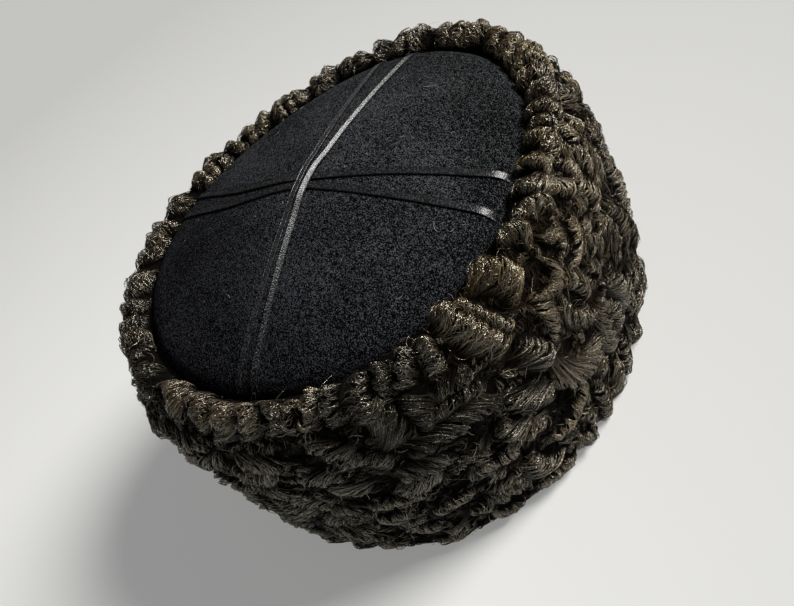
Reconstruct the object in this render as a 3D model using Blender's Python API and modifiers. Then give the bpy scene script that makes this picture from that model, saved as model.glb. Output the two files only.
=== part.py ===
"""Papakha: a tall curly fur hat whose cloth crown is crossed by two pairs of narrow ribbons.

The hat stands on its hem with the opening down. +Z is up, -Y is the front, and the long axis
of the head lies along Y. The origin is the middle of the hem on the surface the hat stands on.
A place on the fur is given by its turn (the angle round the hat, from +X towards +Y) and its
drop (the way along the fur's outer path, from the crown cloth over the rim and down to the hem).
"""
import math

import bpy
import numpy as np

# Driving dimensions, in metres and degrees
BELLY_RADIUS = 0.1129        # half the long axis at the fullest height of the fur
OVAL_RATIO = 0.839           # short axis of the section over its long axis
EGG_SHARE = 0.0294           # three-sided swell of the section, as a share of its radius
EGG_TURN = 104.8             # turn of one of its three swells
FUR_TOP = 0.116              # hem to the top of the rim
RIM_ROUND = 0.0065           # radius of the rounded rim
RIM_RADIUS = 0.0975          # half the long axis through the middle of the rim
HEAD_RADIUS = 0.0985         # half the long axis of the opening at the hem
BED_DEPTH = 0.0030           # depth of the bed between the curls under the outer envelope
NOMINAL_RADIUS = 0.100       # radius at which a turn is measured along the fur
CLOTH_THICK = 0.0015
CROWN_EDGE = 0.0902          # half the long axis of the cloth where its dome ends
CROWN_EDGE_HEIGHT = 0.1136
DOME_RISE = 0.0174           # rise of the cloth's peak over its edge
DOME_SHARE = 0.45            # share of the rise that is a dome, the rest is a tent
TENT_ROUND = 0.15            # rounding of the tent's peak, as a share of the edge radius
RIBBON_WIDTH = 0.0033
RIBBON_THICK = 0.0005
GAP = 0.0003                 # clearance between touching pieces
CROSS_MIDDLE = (-0.0008, -0.0030)

# Resolution
BAND_STEPS = 146
RIM_ROWS = 7
WALL_ROWS = 24
CROWN_STEPS = 44
RIBBON_STATIONS = 27

# Outer envelope below the rim: half the long axis, height
WALL_STATIONS = (
    (0.1078, 0.1040), (0.1102, 0.0986), (0.1116, 0.0920), (0.1125, 0.0750), (BELLY_RADIUS, 0.0550),
    (0.1128, 0.0350), (0.1122, 0.0180), (0.1112, 0.0060), (0.1096, 0.0018), (0.1072, 0.0000),
)
# Inside of the band from the hem up: half the long axis, height
LINING_STATIONS = ((HEAD_RADIUS, 0.0000), (0.0980, 0.0620), (0.0952, 0.0960))

# Crown cloth, outer side from the peak down: the dome's radii, then the rolled edge
DOME_RADII = (0.0, 0.010, 0.025, 0.043, 0.061, 0.077, 0.0865)
CROWN_ROLL = ((0.0889, 0.1133), (0.0903, 0.1109), (0.0906, 0.1068))
CROWN_UNDER_ROLL = ((0.0891, 0.1068), (0.0888, 0.1104), (0.0862, 0.1131))
DOME_UNDER_RADII = (0.061, 0.025, 0.0)

# Ribbons: name, turn of each end, side of its pair, pair
RIBBONS = (
    ("ribbon_over_right", 305.2, 116.0, 1, "over"),
    ("ribbon_over_left", 300.3, 126.5, -1, "over"),
    ("ribbon_under_back", 207.5, 40.5, -1, "under"),
    ("ribbon_under_front", 216.0, 29.2, 1, "under"),
)
RIBBON_END = 0.0864          # half the long axis where a ribbon goes under the fur
RIBBON_BEND = 0.07           # rounding of a ribbon's bend at the middle, as a share of its half
PAIR_OFFSET = 0.0016         # sideways place of a ribbon in its pair before the bend is rounded
LIFT_FLAT = 0.0065           # half length of the raised stretch where a pair crosses the other
LIFT_END = 0.0170

# Curls that show on the photographed side:
# turn, drop, length, width, height, heading, bow, steep side
# heading is from the way round the hat towards the hem, bow is the sideways rise of the middle
PLACED_CURLS = (
    (271.7, 0.0127, 0.020, 0.012, 0.0040, 55.0, 0.0019, 1),
    (283.4, 0.0122, 0.026, 0.013, 0.0042, 40.0, -0.0056, 1),
    (291.7, 0.0127, 0.025, 0.012, 0.0042, 50.0, -0.0054, 1),
    (298.6, 0.0155, 0.025, 0.013, 0.0044, 80.6, -0.0066, 1),
    (306.1, 0.0152, 0.021, 0.011, 0.0042, 84.3, -0.0046, 1),
    (313.0, 0.0148, 0.021, 0.012, 0.0045, 80.9, -0.0060, 1),
    (317.5, 0.0162, 0.018, 0.009, 0.0042, 106.5, 0.0020, -1),
    (322.4, 0.0155, 0.021, 0.009, 0.0052, 118.0, -0.0014, 1),
    (327.6, 0.0159, 0.020, 0.010, 0.0042, 100.7, 0.0014, 1),
    (333.9, 0.0187, 0.024, 0.014, 0.0052, 100.7, 0.0020, -1),
    (339.5, 0.0170, 0.019, 0.009, 0.0040, 109.4, -0.0009, 1),
    (345.0, 0.0172, 0.018, 0.010, 0.0044, 127.6, -0.0011, 1),
    (350.6, 0.0190, 0.018, 0.010, 0.0042, 95.0, -0.0010, -1),
    (0.4, 0.0231, 0.038, 0.015, 0.0062, 71.4, 0.0004, -1),
    (4.9, 0.0239, 0.030, 0.008, 0.0046, 69.5, 0.0001, -1),
    (12.4, 0.0188, 0.027, 0.016, 0.0058, 62.0, -0.0042, -1),
    (23.2, 0.0164, 0.020, 0.010, 0.0044, 52.0, -0.0044, -1),
    (32.0, 0.0177, 0.026, 0.009, 0.0030, 37.0, -0.0026, -1),
    (21.9, 0.0393, 0.022, 0.011, 0.0040, 153.0, -0.0069, 1),
    (16.6, 0.0505, 0.024, 0.010, 0.0036, 95.0, -0.0026, 1),
    (18.4, 0.0800, 0.044, 0.014, 0.0052, 28.0, 0.0110, 1),
    (7.9, 0.0560, 0.026, 0.014, 0.0050, 64.3, -0.0035, -1),
    (3.0, 0.0680, 0.032, 0.011, 0.0042, 52.0, 0.0045, 1),
    (346.7, 0.0531, 0.044, 0.012, 0.0050, 6.0, -0.0046, 1),
    (349.0, 0.0440, 0.028, 0.010, 0.0042, 12.0, -0.0030, -1),
    (356.1, 0.0736, 0.020, 0.010, 0.0048, 60.7, 0.0050, 1),
    (356.0, 0.0857, 0.026, 0.008, 0.0036, 13.1, -0.0025, 1),
    (347.7, 0.0877, 0.022, 0.009, 0.0046, 23.7, -0.0035, -1),
    (355.4, 0.1089, 0.026, 0.014, 0.0044, 61.0, 0.0039, -1),
    (336.1, 0.0632, 0.024, 0.012, 0.0046, 9.9, -0.0012, 1),
    (325.6, 0.0487, 0.026, 0.011, 0.0042, 28.0, -0.0066, -1),
    (322.2, 0.0330, 0.020, 0.009, 0.0036, 38.0, 0.0015, 1),
    (333.6, 0.0317, 0.030, 0.015, 0.0046, 81.9, -0.0052, -1),
    (342.6, 0.0352, 0.022, 0.012, 0.0042, 81.9, -0.0010, 1),
    (39.4, 0.0912, 0.030, 0.011, 0.0046, 86.5, -0.0022, -1),
    (29.9, 0.0908, 0.034, 0.012, 0.0046, 100.5, 0.0048, -1),
    (34.4, 0.0429, 0.024, 0.009, 0.0030, 122.9, -0.0039, 1),
    (46.1, 0.0704, 0.032, 0.010, 0.0036, 86.2, -0.0041, -1),
    (24.1, 0.0652, 0.034, 0.009, 0.0036, 66.7, 0.0040, -1),
    (9.0, 0.1015, 0.030, 0.011, 0.0044, 162.1, -0.0026, 1),
)

# Rim curls on the other sides: one every pitch, across the rim
RIM_SPAN = (39.0, 266.0)
RIM_PITCH = 5.6
RIM_DROP = 0.0118
RIM_CURL = (0.023, 0.0102, 0.0036)

# Curls strewn over the wall, a row for each region, the first that holds a place counts:
# from turn, to turn, from drop, to drop, length, width, height, heading, spread of heading
REGIONS = (
    (28.0, 112.0, 0.024, 0.070, 0.020, 0.0085, 0.0025, 60.0, 25.0),
    (8.0, 120.0, 0.070, 0.128, 0.029, 0.0110, 0.0041, 95.0, 22.0),
    (245.0, 360.0, 0.024, 0.058, 0.027, 0.0110, 0.0041, 5.0, 22.0),
    (245.0, 360.0, 0.058, 0.128, 0.021, 0.0092, 0.0036, 14.0, 24.0),
    (120.0, 190.0, 0.024, 0.128, 0.026, 0.0105, 0.0039, 70.0, 30.0),
    (190.0, 245.0, 0.024, 0.128, 0.026, 0.0105, 0.0039, 25.0, 30.0),
    (0.0, 360.0, 0.024, 0.128, 0.024, 0.0100, 0.0040, 45.0, 30.0),
)
CURL_SEED = 1907
CURL_TRIES = 5200
FULL_SIZE_TRIES = 0.55       # share of the tries that are curls of full size
SHORT_CURL = 0.62            # length of the curls tried after them, which fill what is left
CURL_SPACING = 0.36          # least distance between two crests, as a share of both widths
STREWN_DROPS = (0.026, 0.003)    # strewn curls keep this far below the cloth and above the hem
CREST_PLACE = 0.25           # place of the crest between the curl's middle and its steep foot
GENTLE_REACH = 1.35          # foot of the gentle side, in half widths
STEEP_REACH = 0.95
RIM_FADE = 0.008             # drop over which the curls rise from the edge next to the cloth
HEM_FADE = 0.006

# Colours: red, green, blue, and the surface's roughness
FUR_COLOUR = ((0.026, 0.021, 0.016), 0.62)
CLOTH_COLOUR = ((0.021, 0.023, 0.024), 0.92)
RIBBON_COLOUR = ((0.014, 0.014, 0.016), 0.34)


def section(turn):
    """Radius of the hat's section at a turn (radians), as a share of its long half axis."""
    oval = 1 / np.sqrt(np.sin(turn) ** 2 + (np.cos(turn) / OVAL_RATIO) ** 2)
    return oval * (1 + EGG_SHARE * np.cos(3 * (turn - math.radians(EGG_TURN))))


def section_middle():
    """Middle of the box round the fullest section, which becomes the origin's axis."""
    turn = np.linspace(0, 2 * math.pi, 720, endpoint=False)
    reach = BELLY_RADIUS * section(turn)
    x, y = reach * np.cos(turn), reach * np.sin(turn)
    return (x.min() + x.max()) / 2, (y.min() + y.max()) / 2


MIDDLE_X, MIDDLE_Y = section_middle()


def placed(turn, radius, height):
    """Points of the hat from turn, long half axis and height, centred on the origin."""
    reach = radius * section(turn)
    x = reach * np.cos(turn) - MIDDLE_X
    y = reach * np.sin(turn) - MIDDLE_Y
    return np.stack([x, y, height + 0 * x], axis=-1)


def smooth_step(value):
    """0 below 0, 1 above 1, and an S between."""
    value = np.clip(value, 0, 1)
    return value * value * (3 - 2 * value)


def envelope():
    """Outer path of the fur as drop, radius and height: the round rim, then the wall."""
    arc = np.radians(np.linspace(180, 0, 13))
    radius = np.r_[RIM_RADIUS + RIM_ROUND * np.cos(arc), [row[0] for row in WALL_STATIONS]]
    height = np.r_[FUR_TOP - RIM_ROUND + RIM_ROUND * np.sin(arc), [row[1] for row in WALL_STATIONS]]
    drop = np.r_[0, np.cumsum(np.hypot(np.diff(radius), np.diff(height)))]
    return drop, radius, height


def placed_curls():
    """Rows of the curls set by hand and of those across the rest of the rim."""
    rows = list(PLACED_CURLS)
    length, width, height = RIM_CURL
    rng = np.random.default_rng(CURL_SEED)
    for turn in np.arange(RIM_SPAN[0], RIM_SPAN[1], RIM_PITCH):
        shift, grow, tilt, bow, lean = rng.uniform(-1, 1, 5)
        rows.append((turn + shift, RIM_DROP + 0.0012 * grow, length * (1 + 0.15 * grow),
                     width * (1 + 0.12 * bow), height * (1 + 0.18 * tilt), 90 + 24 * tilt,
                     0.0045 * bow, 1 if lean > -0.4 else -1))
    return rows


def region_of(turn, drop):
    """The row of REGIONS that holds a place on the wall."""
    for row in REGIONS:
        if row[0] <= turn < row[1] and row[2] <= drop < row[3]:
            return row
    return REGIONS[-1]


def across_turn(first, second):
    """Way round the hat from the second turn to the first, in metres, the short way."""
    return np.radians((first - second + 180) % 360 - 180) * NOMINAL_RADIUS


def crest_distance(turn, drop, rows):
    """Distance from a place to the straight crest line of each curl in rows."""
    heading = np.radians(rows[:, 5])
    way, down = across_turn(turn, rows[:, 0]), drop - rows[:, 1]
    half = 0.40 * rows[:, 2]
    along = np.clip(way * np.cos(heading) + down * np.sin(heading), -half, half)
    return np.hypot(way - along * np.cos(heading), down - along * np.sin(heading))


def all_curls():
    """Every curl as an array, a row each: the placed ones, then those strewn clear of them."""
    rows = placed_curls()
    rng = np.random.default_rng(CURL_SEED + 1)
    end_of_drop = envelope()[0][-1]
    for attempt in range(CURL_TRIES):
        turn = rng.uniform(0, 360)
        drop = rng.uniform(STREWN_DROPS[0], end_of_drop - STREWN_DROPS[1])
        bow, lean, grow, swing = rng.uniform(-1, 1, 4)
        shrink = 1.0 if attempt < CURL_TRIES * FULL_SIZE_TRIES else SHORT_CURL
        _, _, _, _, length, width, height, heading, spread = region_of(turn, drop)
        length *= shrink * (1 + 0.28 * grow)
        width *= (0.55 + 0.45 * shrink) * (1 + 0.14 * bow)
        height *= (0.6 + 0.4 * shrink) * (1 + 0.20 * grow)
        heading += spread * swing
        table = np.array(rows)
        clear = True
        for share in (-0.34, 0.0, 0.34):
            way = length * share * math.cos(math.radians(heading)) / NOMINAL_RADIUS
            place = turn + math.degrees(way)
            gap = crest_distance(place, drop + length * share * math.sin(math.radians(heading)), table)
            clear = clear and bool(np.all(gap > CURL_SPACING * (width + table[:, 3])))
        if clear:
            rows.append((turn, drop, length, width, height, heading, 0.16 * length * bow,
                         1 if lean > -0.3 else -1))
    return np.array(rows)


def curl_relief(turn, drop, curls):
    """Height of the fur over its bed: at each place the highest of all the curls.

    A curl is a ridge along a bowed line. Across it the height rises gently to the crest and
    falls steeply past it, and it falls off towards both ends. turn is in radians.
    """
    relief = np.zeros(np.shape(turn))
    for row in curls:
        _, _, length, width, height, heading, bow, steep = row
        way, down = across_turn(np.degrees(turn), row[0]), drop - row[1]
        cos, sin = math.cos(math.radians(heading)), math.sin(math.radians(heading))
        half = math.sqrt(max(0.25 * length ** 2 - bow ** 2, (0.3 * length) ** 2))
        along = (way * cos + down * sin) / half
        slope = -2 * bow * along / half
        side = (down * cos - way * sin - bow * (2 / 3 - along ** 2)) / np.sqrt(1 + slope ** 2)
        side = steep * side / (0.5 * width)
        gentle = np.clip((side + GENTLE_REACH) / (CREST_PLACE + GENTLE_REACH), 0, 1)
        falling = np.clip((side - CREST_PLACE) / (STEEP_REACH - CREST_PLACE), 0, 1)
        across = np.where(side < CREST_PLACE, gentle ** 0.8, np.sqrt(1 - falling ** 2))
        ends = np.clip(1 - np.abs(along) ** 3, 0, 1) ** 0.6
        relief = np.maximum(relief, height * across * ends)
    return relief


def new_object(name, mesh, collection):
    """Object of a mesh in the hat's collection."""
    thing = bpy.data.objects.new(name, mesh)
    collection.objects.link(thing)
    return thing


def turned_mesh(name, profile, steps, closed, collection):
    """Mesh of a profile of (radius, height) points turned once round Z by a Screw modifier."""
    count = len(profile)
    edges = [(i, i + 1) for i in range(count - 1)]
    if closed:
        edges.append((count - 1, 0))
    mesh = bpy.data.meshes.new(name)
    mesh.from_pydata([(radius, 0, height) for radius, height in profile], edges, [])
    thing = new_object(name + "_profile", mesh, collection)
    screw = thing.modifiers.new("Turn", "SCREW")
    screw.axis = "Z"
    screw.steps = screw.render_steps = steps
    screw.use_merge_vertices = True
    screw.merge_threshold = 0.00001
    screw.use_smooth_shade = True
    evaluated = thing.evaluated_get(bpy.context.evaluated_depsgraph_get())
    turned = bpy.data.meshes.new_from_object(evaluated)
    turned.name = name
    bpy.data.objects.remove(thing)
    bpy.data.meshes.remove(mesh)
    return turned


def read_points(mesh):
    """Vertex positions of a mesh as an array."""
    points = np.empty(len(mesh.vertices) * 3)
    mesh.vertices.foreach_get("co", points)
    return points.reshape(-1, 3)


def write_points(mesh, points):
    """Moves the vertices of a mesh to the given positions."""
    mesh.vertices.foreach_set("co", points.ravel())
    mesh.update()


def material(name, colour, roughness):
    """Plain material of a piece."""
    made = bpy.data.materials.new(name)
    made.use_nodes = True
    shader = made.node_tree.nodes["Principled BSDF"]
    shader.inputs["Base Color"].default_value = (*colour, 1)
    shader.inputs["Roughness"].default_value = roughness
    shader.inputs["Metallic"].default_value = 0
    return made


def build_fur_band(collection):
    """Hollow band of curly fur: a turned wall, made oval, whose outer side carries the curls."""
    path_drop, path_radius, path_height = envelope()
    rim_end = math.pi * RIM_ROUND
    drop = np.r_[np.linspace(0, rim_end, RIM_ROWS, endpoint=False),
                 np.linspace(rim_end, path_drop[-1], WALL_ROWS)]
    radius = np.interp(drop, path_drop, path_radius)
    height = np.interp(drop, path_drop, path_height)
    profile = list(zip(radius, height)) + list(LINING_STATIONS)
    mesh = turned_mesh("fur_band", profile, BAND_STEPS, True, collection)
    points = read_points(mesh)

    outward = np.stack([-np.gradient(height, drop), np.gradient(radius, drop)], axis=1)
    outward /= np.linalg.norm(outward, axis=1, keepdims=True)
    outward[:, 1] *= smooth_step((drop[-1] - drop) / HEM_FADE)
    rows = len(profile)
    place = np.arange(len(points)) % rows
    outside = place < len(drop)
    row = np.where(outside, place, 0)
    turn = np.arctan2(points[:, 1], points[:, 0])
    relief = curl_relief(turn, drop[row], all_curls()) - BED_DEPTH
    relief *= smooth_step(drop[row] / RIM_FADE) * outside
    grown = placed(turn, np.hypot(points[:, 0], points[:, 1]) + relief * outward[row, 0],
                   points[:, 2] + relief * outward[row, 1])
    grown[:, 2] = np.maximum(grown[:, 2], 0)
    write_points(mesh, grown)
    band = new_object("fur_band", mesh, collection)
    mesh.materials.append(material("curly_fur", *FUR_COLOUR))
    return band


def dome_height(radius):
    """Height of the cloth's outer side: a shallow dome and a round-topped tent, mixed."""
    share = np.asarray(radius) / CROWN_EDGE
    dome = 1 - share ** 2
    peak = np.sqrt(1 + TENT_ROUND ** 2) - TENT_ROUND
    tent = 1 - (np.sqrt(share ** 2 + TENT_ROUND ** 2) - TENT_ROUND) / peak
    return CROWN_EDGE_HEIGHT + DOME_RISE * (DOME_SHARE * dome + (1 - DOME_SHARE) * tent)


def crown_outside():
    """Outer side of the crown cloth as (radius, height) stations from the peak down."""
    return [(radius, float(dome_height(radius))) for radius in DOME_RADII] + list(CROWN_ROLL)


def build_crown_cloth(collection):
    """Cloth crown: a shallow tented dome with a rolled edge, one cloth thick."""
    under = [(radius, float(dome_height(radius)) - CLOTH_THICK) for radius in DOME_UNDER_RADII]
    profile = crown_outside() + list(CROWN_UNDER_ROLL) + under
    mesh = turned_mesh("crown_cloth", profile, CROWN_STEPS, False, collection)
    points = read_points(mesh)
    turn = np.arctan2(points[:, 1], points[:, 0])
    write_points(mesh, placed(turn, np.hypot(points[:, 0], points[:, 1]), points[:, 2]))
    crown = new_object("crown_cloth", mesh, collection)
    mesh.materials.append(material("wool_cloth", *CLOTH_COLOUR))
    return crown


def ribbon_path(first_turn, last_turn, side):
    """Plan of a ribbon's middle line and its sideways direction, from edge to edge.

    Two straight runs leave the middle of the cross, a little to one side of it, for their
    ends at the cloth's edge, and the bend between them is rounded.
    """
    ends = placed(np.radians([first_turn, last_turn]), RIBBON_END, 0.0)[:, :2]
    middle = np.array(CROSS_MIDDLE)
    along = (ends[1] - ends[0]) / np.linalg.norm(ends[1] - ends[0])
    start = middle + PAIR_OFFSET * side * np.array([along[1], -along[0]])
    share = np.linspace(-1, 1, RIBBON_STATIONS)
    top = 1 + math.sqrt(1 + RIBBON_BEND ** 2)
    forward = ((np.sqrt(share ** 2 + RIBBON_BEND ** 2) + share) / top)[:, None]
    plan = start + (ends[0] - start) * forward[::-1] + (ends[1] - start) * forward
    tangent = np.gradient(plan, axis=0)
    tangent /= np.linalg.norm(tangent, axis=1, keepdims=True)
    return plan, np.stack([tangent[:, 1], -tangent[:, 0]], axis=1)


def cloth_height(plan):
    """Height of the crown cloth's outer side under points of the plan."""
    x, y = plan[..., 0] + MIDDLE_X, plan[..., 1] + MIDDLE_Y
    radius = np.hypot(x, y) / section(np.arctan2(y, x))
    stations = np.array(crown_outside())
    return np.interp(radius, stations[:, 0], stations[:, 1])


def build_ribbon(name, first_turn, last_turn, side, pair, collection):
    """Narrow ribbon over the crown cloth, an open strip given its thickness by Solidify."""
    plan, sideways = ribbon_path(first_turn, last_turn, side)
    half = RIBBON_WIDTH / 2
    edges = np.stack([plan - half * sideways, plan + half * sideways], axis=1)
    from_middle = np.linalg.norm(edges - np.array(CROSS_MIDDLE), axis=2)
    lift = 1 - smooth_step((from_middle - LIFT_FLAT) / (LIFT_END - LIFT_FLAT))
    lift *= (RIBBON_THICK + GAP) if pair == "over" else 0
    points = np.concatenate([edges, (cloth_height(edges) + GAP + lift)[..., None]], axis=2)
    quads = [(2 * i, 2 * i + 1, 2 * i + 3, 2 * i + 2) for i in range(RIBBON_STATIONS - 1)]
    mesh = bpy.data.meshes.new(name)
    mesh.from_pydata(points.reshape(-1, 3).tolist(), [], quads)
    ribbon = new_object(name, mesh, collection)
    if mesh.polygons[0].normal.z < 0:
        mesh.flip_normals()
    wall = ribbon.modifiers.new("Thickness", "SOLIDIFY")
    wall.thickness = RIBBON_THICK
    wall.offset = 1
    mesh.materials.append(material(name + "_satin", *RIBBON_COLOUR))
    return ribbon


def main():
    """Clears the file and builds the hat."""
    for thing in list(bpy.data.objects):
        bpy.data.objects.remove(thing)
    collection = bpy.data.collections.new("papakha")
    bpy.context.scene.collection.children.link(collection)
    build_fur_band(collection)
    build_crown_cloth(collection)
    for row in RIBBONS:
        build_ribbon(*row, collection)


main()
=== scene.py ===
"""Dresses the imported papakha: karakul locks, wool crown, satin ribbons, a floor, light and a camera.

Everything is in metres in the frame's own axes: +Z is up and -Y is the hat's front. A place
on the fur is given by its turn (the angle round the hat, from +X towards +Y) and its drop (the way
along the fur's outer path, from the crown cloth over the rim and down to the hem).
"""
import logging
import math
from dataclasses import dataclass
from enum import Enum
from functools import cached_property
from typing import Any

import bpy
import numpy as np
from mathutils import Matrix, Vector


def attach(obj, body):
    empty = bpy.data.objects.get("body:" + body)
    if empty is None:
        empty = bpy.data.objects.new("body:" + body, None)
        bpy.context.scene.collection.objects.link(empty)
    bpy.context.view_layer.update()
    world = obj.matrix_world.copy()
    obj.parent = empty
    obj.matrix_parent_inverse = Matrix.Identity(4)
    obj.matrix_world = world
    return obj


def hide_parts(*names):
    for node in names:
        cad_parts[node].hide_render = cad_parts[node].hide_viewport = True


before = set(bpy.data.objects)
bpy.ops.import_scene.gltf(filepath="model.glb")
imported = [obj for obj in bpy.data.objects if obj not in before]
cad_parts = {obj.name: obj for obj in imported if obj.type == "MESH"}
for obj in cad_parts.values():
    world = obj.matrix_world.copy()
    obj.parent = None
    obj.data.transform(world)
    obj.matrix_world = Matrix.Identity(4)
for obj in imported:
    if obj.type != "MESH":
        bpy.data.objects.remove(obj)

LOG = logging.getLogger("papakha")
Span = tuple[float, float]
Triple = tuple[float, float, float]
Colour = Triple
Table = tuple[tuple[float, ...], ...]

# Width of a strand along it, as shares of its length and of its full width.
STRAND_SHARES = (0, 0.15, 0.75, 1)
STRAND_WIDTHS = (0.55, 1.0, 0.85, 0.14)
# Drift of a strand's roll along it, beside the spread of the rolls.
ROLL_DRIFT = 0.8
# The lowest that a strand's edge may lie.
LEAST_HEIGHT = 0.0001
# Depth under a strand at which the place is read that gives its way outward.
OUTWARD_STEP = 0.001


def smooth_step(value: np.ndarray) -> np.ndarray:
    """0 below 0, 1 above 1, and the S curve 3v^2 - 2v^3 between."""
    value = np.clip(value, 0, 1)
    return value * value * (3 - 2 * value)


def unit(vectors: np.ndarray) -> np.ndarray:
    """Vectors on the last axis, each divided by its length."""
    return vectors / np.maximum(np.linalg.norm(vectors, axis=-1, keepdims=True), 1e-12)


class Wire:
    """A shader socket that takes part in Python expressions; each operator adds a Math node."""

    def __init__(self, book: "NodeBook", socket: bpy.types.NodeSocket) -> None:
        """Keeps the socket and the tree it belongs to."""
        self.book = book
        self.socket = socket

    def _with(self, operation: str, first: Any, second: Any) -> "Wire":
        """Math node of two terms, each a wire or a number."""
        return self.book.add("ShaderNodeMath", {"operation": operation}, {0: first, 1: second})

    def __add__(self, other: Any) -> "Wire":
        """self + other."""
        return self._with("ADD", self, other)

    def __radd__(self, other: Any) -> "Wire":
        """other + self."""
        return self._with("ADD", other, self)

    def __sub__(self, other: Any) -> "Wire":
        """self - other."""
        return self._with("SUBTRACT", self, other)

    def __rsub__(self, other: Any) -> "Wire":
        """other - self."""
        return self._with("SUBTRACT", other, self)

    def __mul__(self, other: Any) -> "Wire":
        """self * other."""
        return self._with("MULTIPLY", self, other)

    def __rmul__(self, other: Any) -> "Wire":
        """other * self."""
        return self._with("MULTIPLY", other, self)


class NodeBook:
    """Node tree of one material, with a Principled shader as its surface."""

    def __init__(self, name: str) -> None:
        """Starts a material with an empty tree and its shader and output.

        Args:
            name: the material's name.
        """
        self.material = bpy.data.materials.new(name)
        self.material.use_nodes = True
        self.tree = self.material.node_tree
        self.tree.nodes.clear()
        self.shader = self.tree.nodes.new("ShaderNodeBsdfPrincipled")
        self.output = self.tree.nodes.new("ShaderNodeOutputMaterial")
        self.tree.links.new(self.shader.outputs[0], self.output.inputs["Surface"])

    def feed(self, socket: bpy.types.NodeSocket, value: Any) -> None:
        """Links a wire to a socket, or sets a number, colour or vector on it.

        Args:
            socket: an input of a node.
            value: a wire, or what the input takes.
        """
        if isinstance(value, Wire):
            self.tree.links.new(value.socket, socket)
        else:
            socket.default_value = value

    def add(self, kind: str, settings: dict[str, Any], values: dict[Any, Any],
            output: Any = 0) -> Wire:
        """Adds one node.

        Args:
            kind: the node's type.
            settings: its properties, set first; "stops" gives a ramp's (place, colour) pairs.
            values: its sockets by name or number, each a wire or a value.
            output: the output that the wire reads.

        Returns:
            The wire of that output.
        """
        node = self.tree.nodes.new(kind)
        for name, value in settings.items():
            if name == "stops":
                ramp = node.color_ramp.elements
                while len(ramp) < len(value):
                    ramp.new(0.5)
                for element, (place, colour) in zip(ramp, value):
                    element.position = place
                    element.color = (*colour, 1)
            else:
                setattr(node, name, value)
        for name, value in values.items():
            self.feed(node.inputs[name], value)
        return Wire(self, node.outputs[output])

    def place(self) -> Wire:
        """The piece's own coordinates, in metres."""
        return self.add("ShaderNodeTexCoord", {}, {}, "Object")

    def along(self, way: Triple) -> Wire:
        """How far a place lies along a way from the origin: their dot product."""
        return self.add("ShaderNodeVectorMath", {"operation": "DOT_PRODUCT"},
                        {0: self.place(), 1: way}, "Value")

    def noise(self, scale: float, detail: float = 2.0, roughness: float = 0.5) -> Wire:
        """Noise value over the piece's own coordinates."""
        return self.add("ShaderNodeTexNoise", {}, {
            "Vector": self.place(), "Scale": scale, "Detail": detail, "Roughness": roughness})

    def attribute(self, name: str) -> Wire:
        """A number stored on the piece's points."""
        return self.add("ShaderNodeAttribute", {"attribute_name": name}, {}, "Fac")

    def ramp(self, factor: Wire, *stops: tuple[float, Colour]) -> Wire:
        """Colour that follows a factor through the stops."""
        return self.add("ShaderNodeValToRGB", {"stops": stops}, {"Fac": factor}, "Color")

    def mix(self, factor: Any, first: Any, second: Any, blend: str = "MIX") -> Wire:
        """Colour mix of two colours, each a wire or three numbers.

        Args:
            factor: share of the second colour.
            first: the first colour.
            second: the second colour.
            blend: how they are mixed.

        Returns:
            The mixed colour.
        """
        first = first if isinstance(first, Wire) else (*first, 1)
        second = second if isinstance(second, Wire) else (*second, 1)
        return self.add("ShaderNodeMix", {"data_type": "RGBA", "blend_type": blend},
                        {0: factor, 6: first, 7: second}, 2)

    def spread(self, value: Wire, low: float, high: float) -> Wire:
        """Value carried from low..high to 0..1 and held there."""
        return self.add("ShaderNodeMapRange", {"clamp": True},
                        {"Value": value, "From Min": low, "From Max": high})

    def bump(self, height: Wire, distance: float, strength: float = 1.0) -> Wire:
        """Normal tilted by a height, whose unit is the distance."""
        return self.add("ShaderNodeBump", {}, {
            "Height": height, "Distance": distance, "Strength": strength}, "Normal")

    def second(self, **values: Any) -> Wire:
        """Another Principled shader, its sockets named with _ for a space, for `blend`."""
        return self.add("ShaderNodeBsdfPrincipled", {}, {
            name.replace("_", " "): value for name, value in values.items()}, "BSDF")

    def finish(self, **values: Any) -> bpy.types.Material:
        """Sets the shader's sockets, named with _ for a space, and gives the material.

        Args:
            **values: the sockets' wires or values.

        Returns:
            The material.
        """
        for name, value in values.items():
            self.feed(self.shader.inputs[name.replace("_", " ")], value)
        return self.material

    def blend(self, factor: Wire, other: Wire) -> bpy.types.Material:
        """Puts a second shader under the main one, which shows as the factor nears one.

        Args:
            factor: share of the main shader.
            other: the second shader.

        Returns:
            The material.
        """
        main = Wire(self, self.shader.outputs["BSDF"])
        both = self.add("ShaderNodeMixShader", {}, {0: factor, 1: other, 2: main}, "Shader")
        self.feed(self.output.inputs["Surface"], both)
        return self.material


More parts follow.
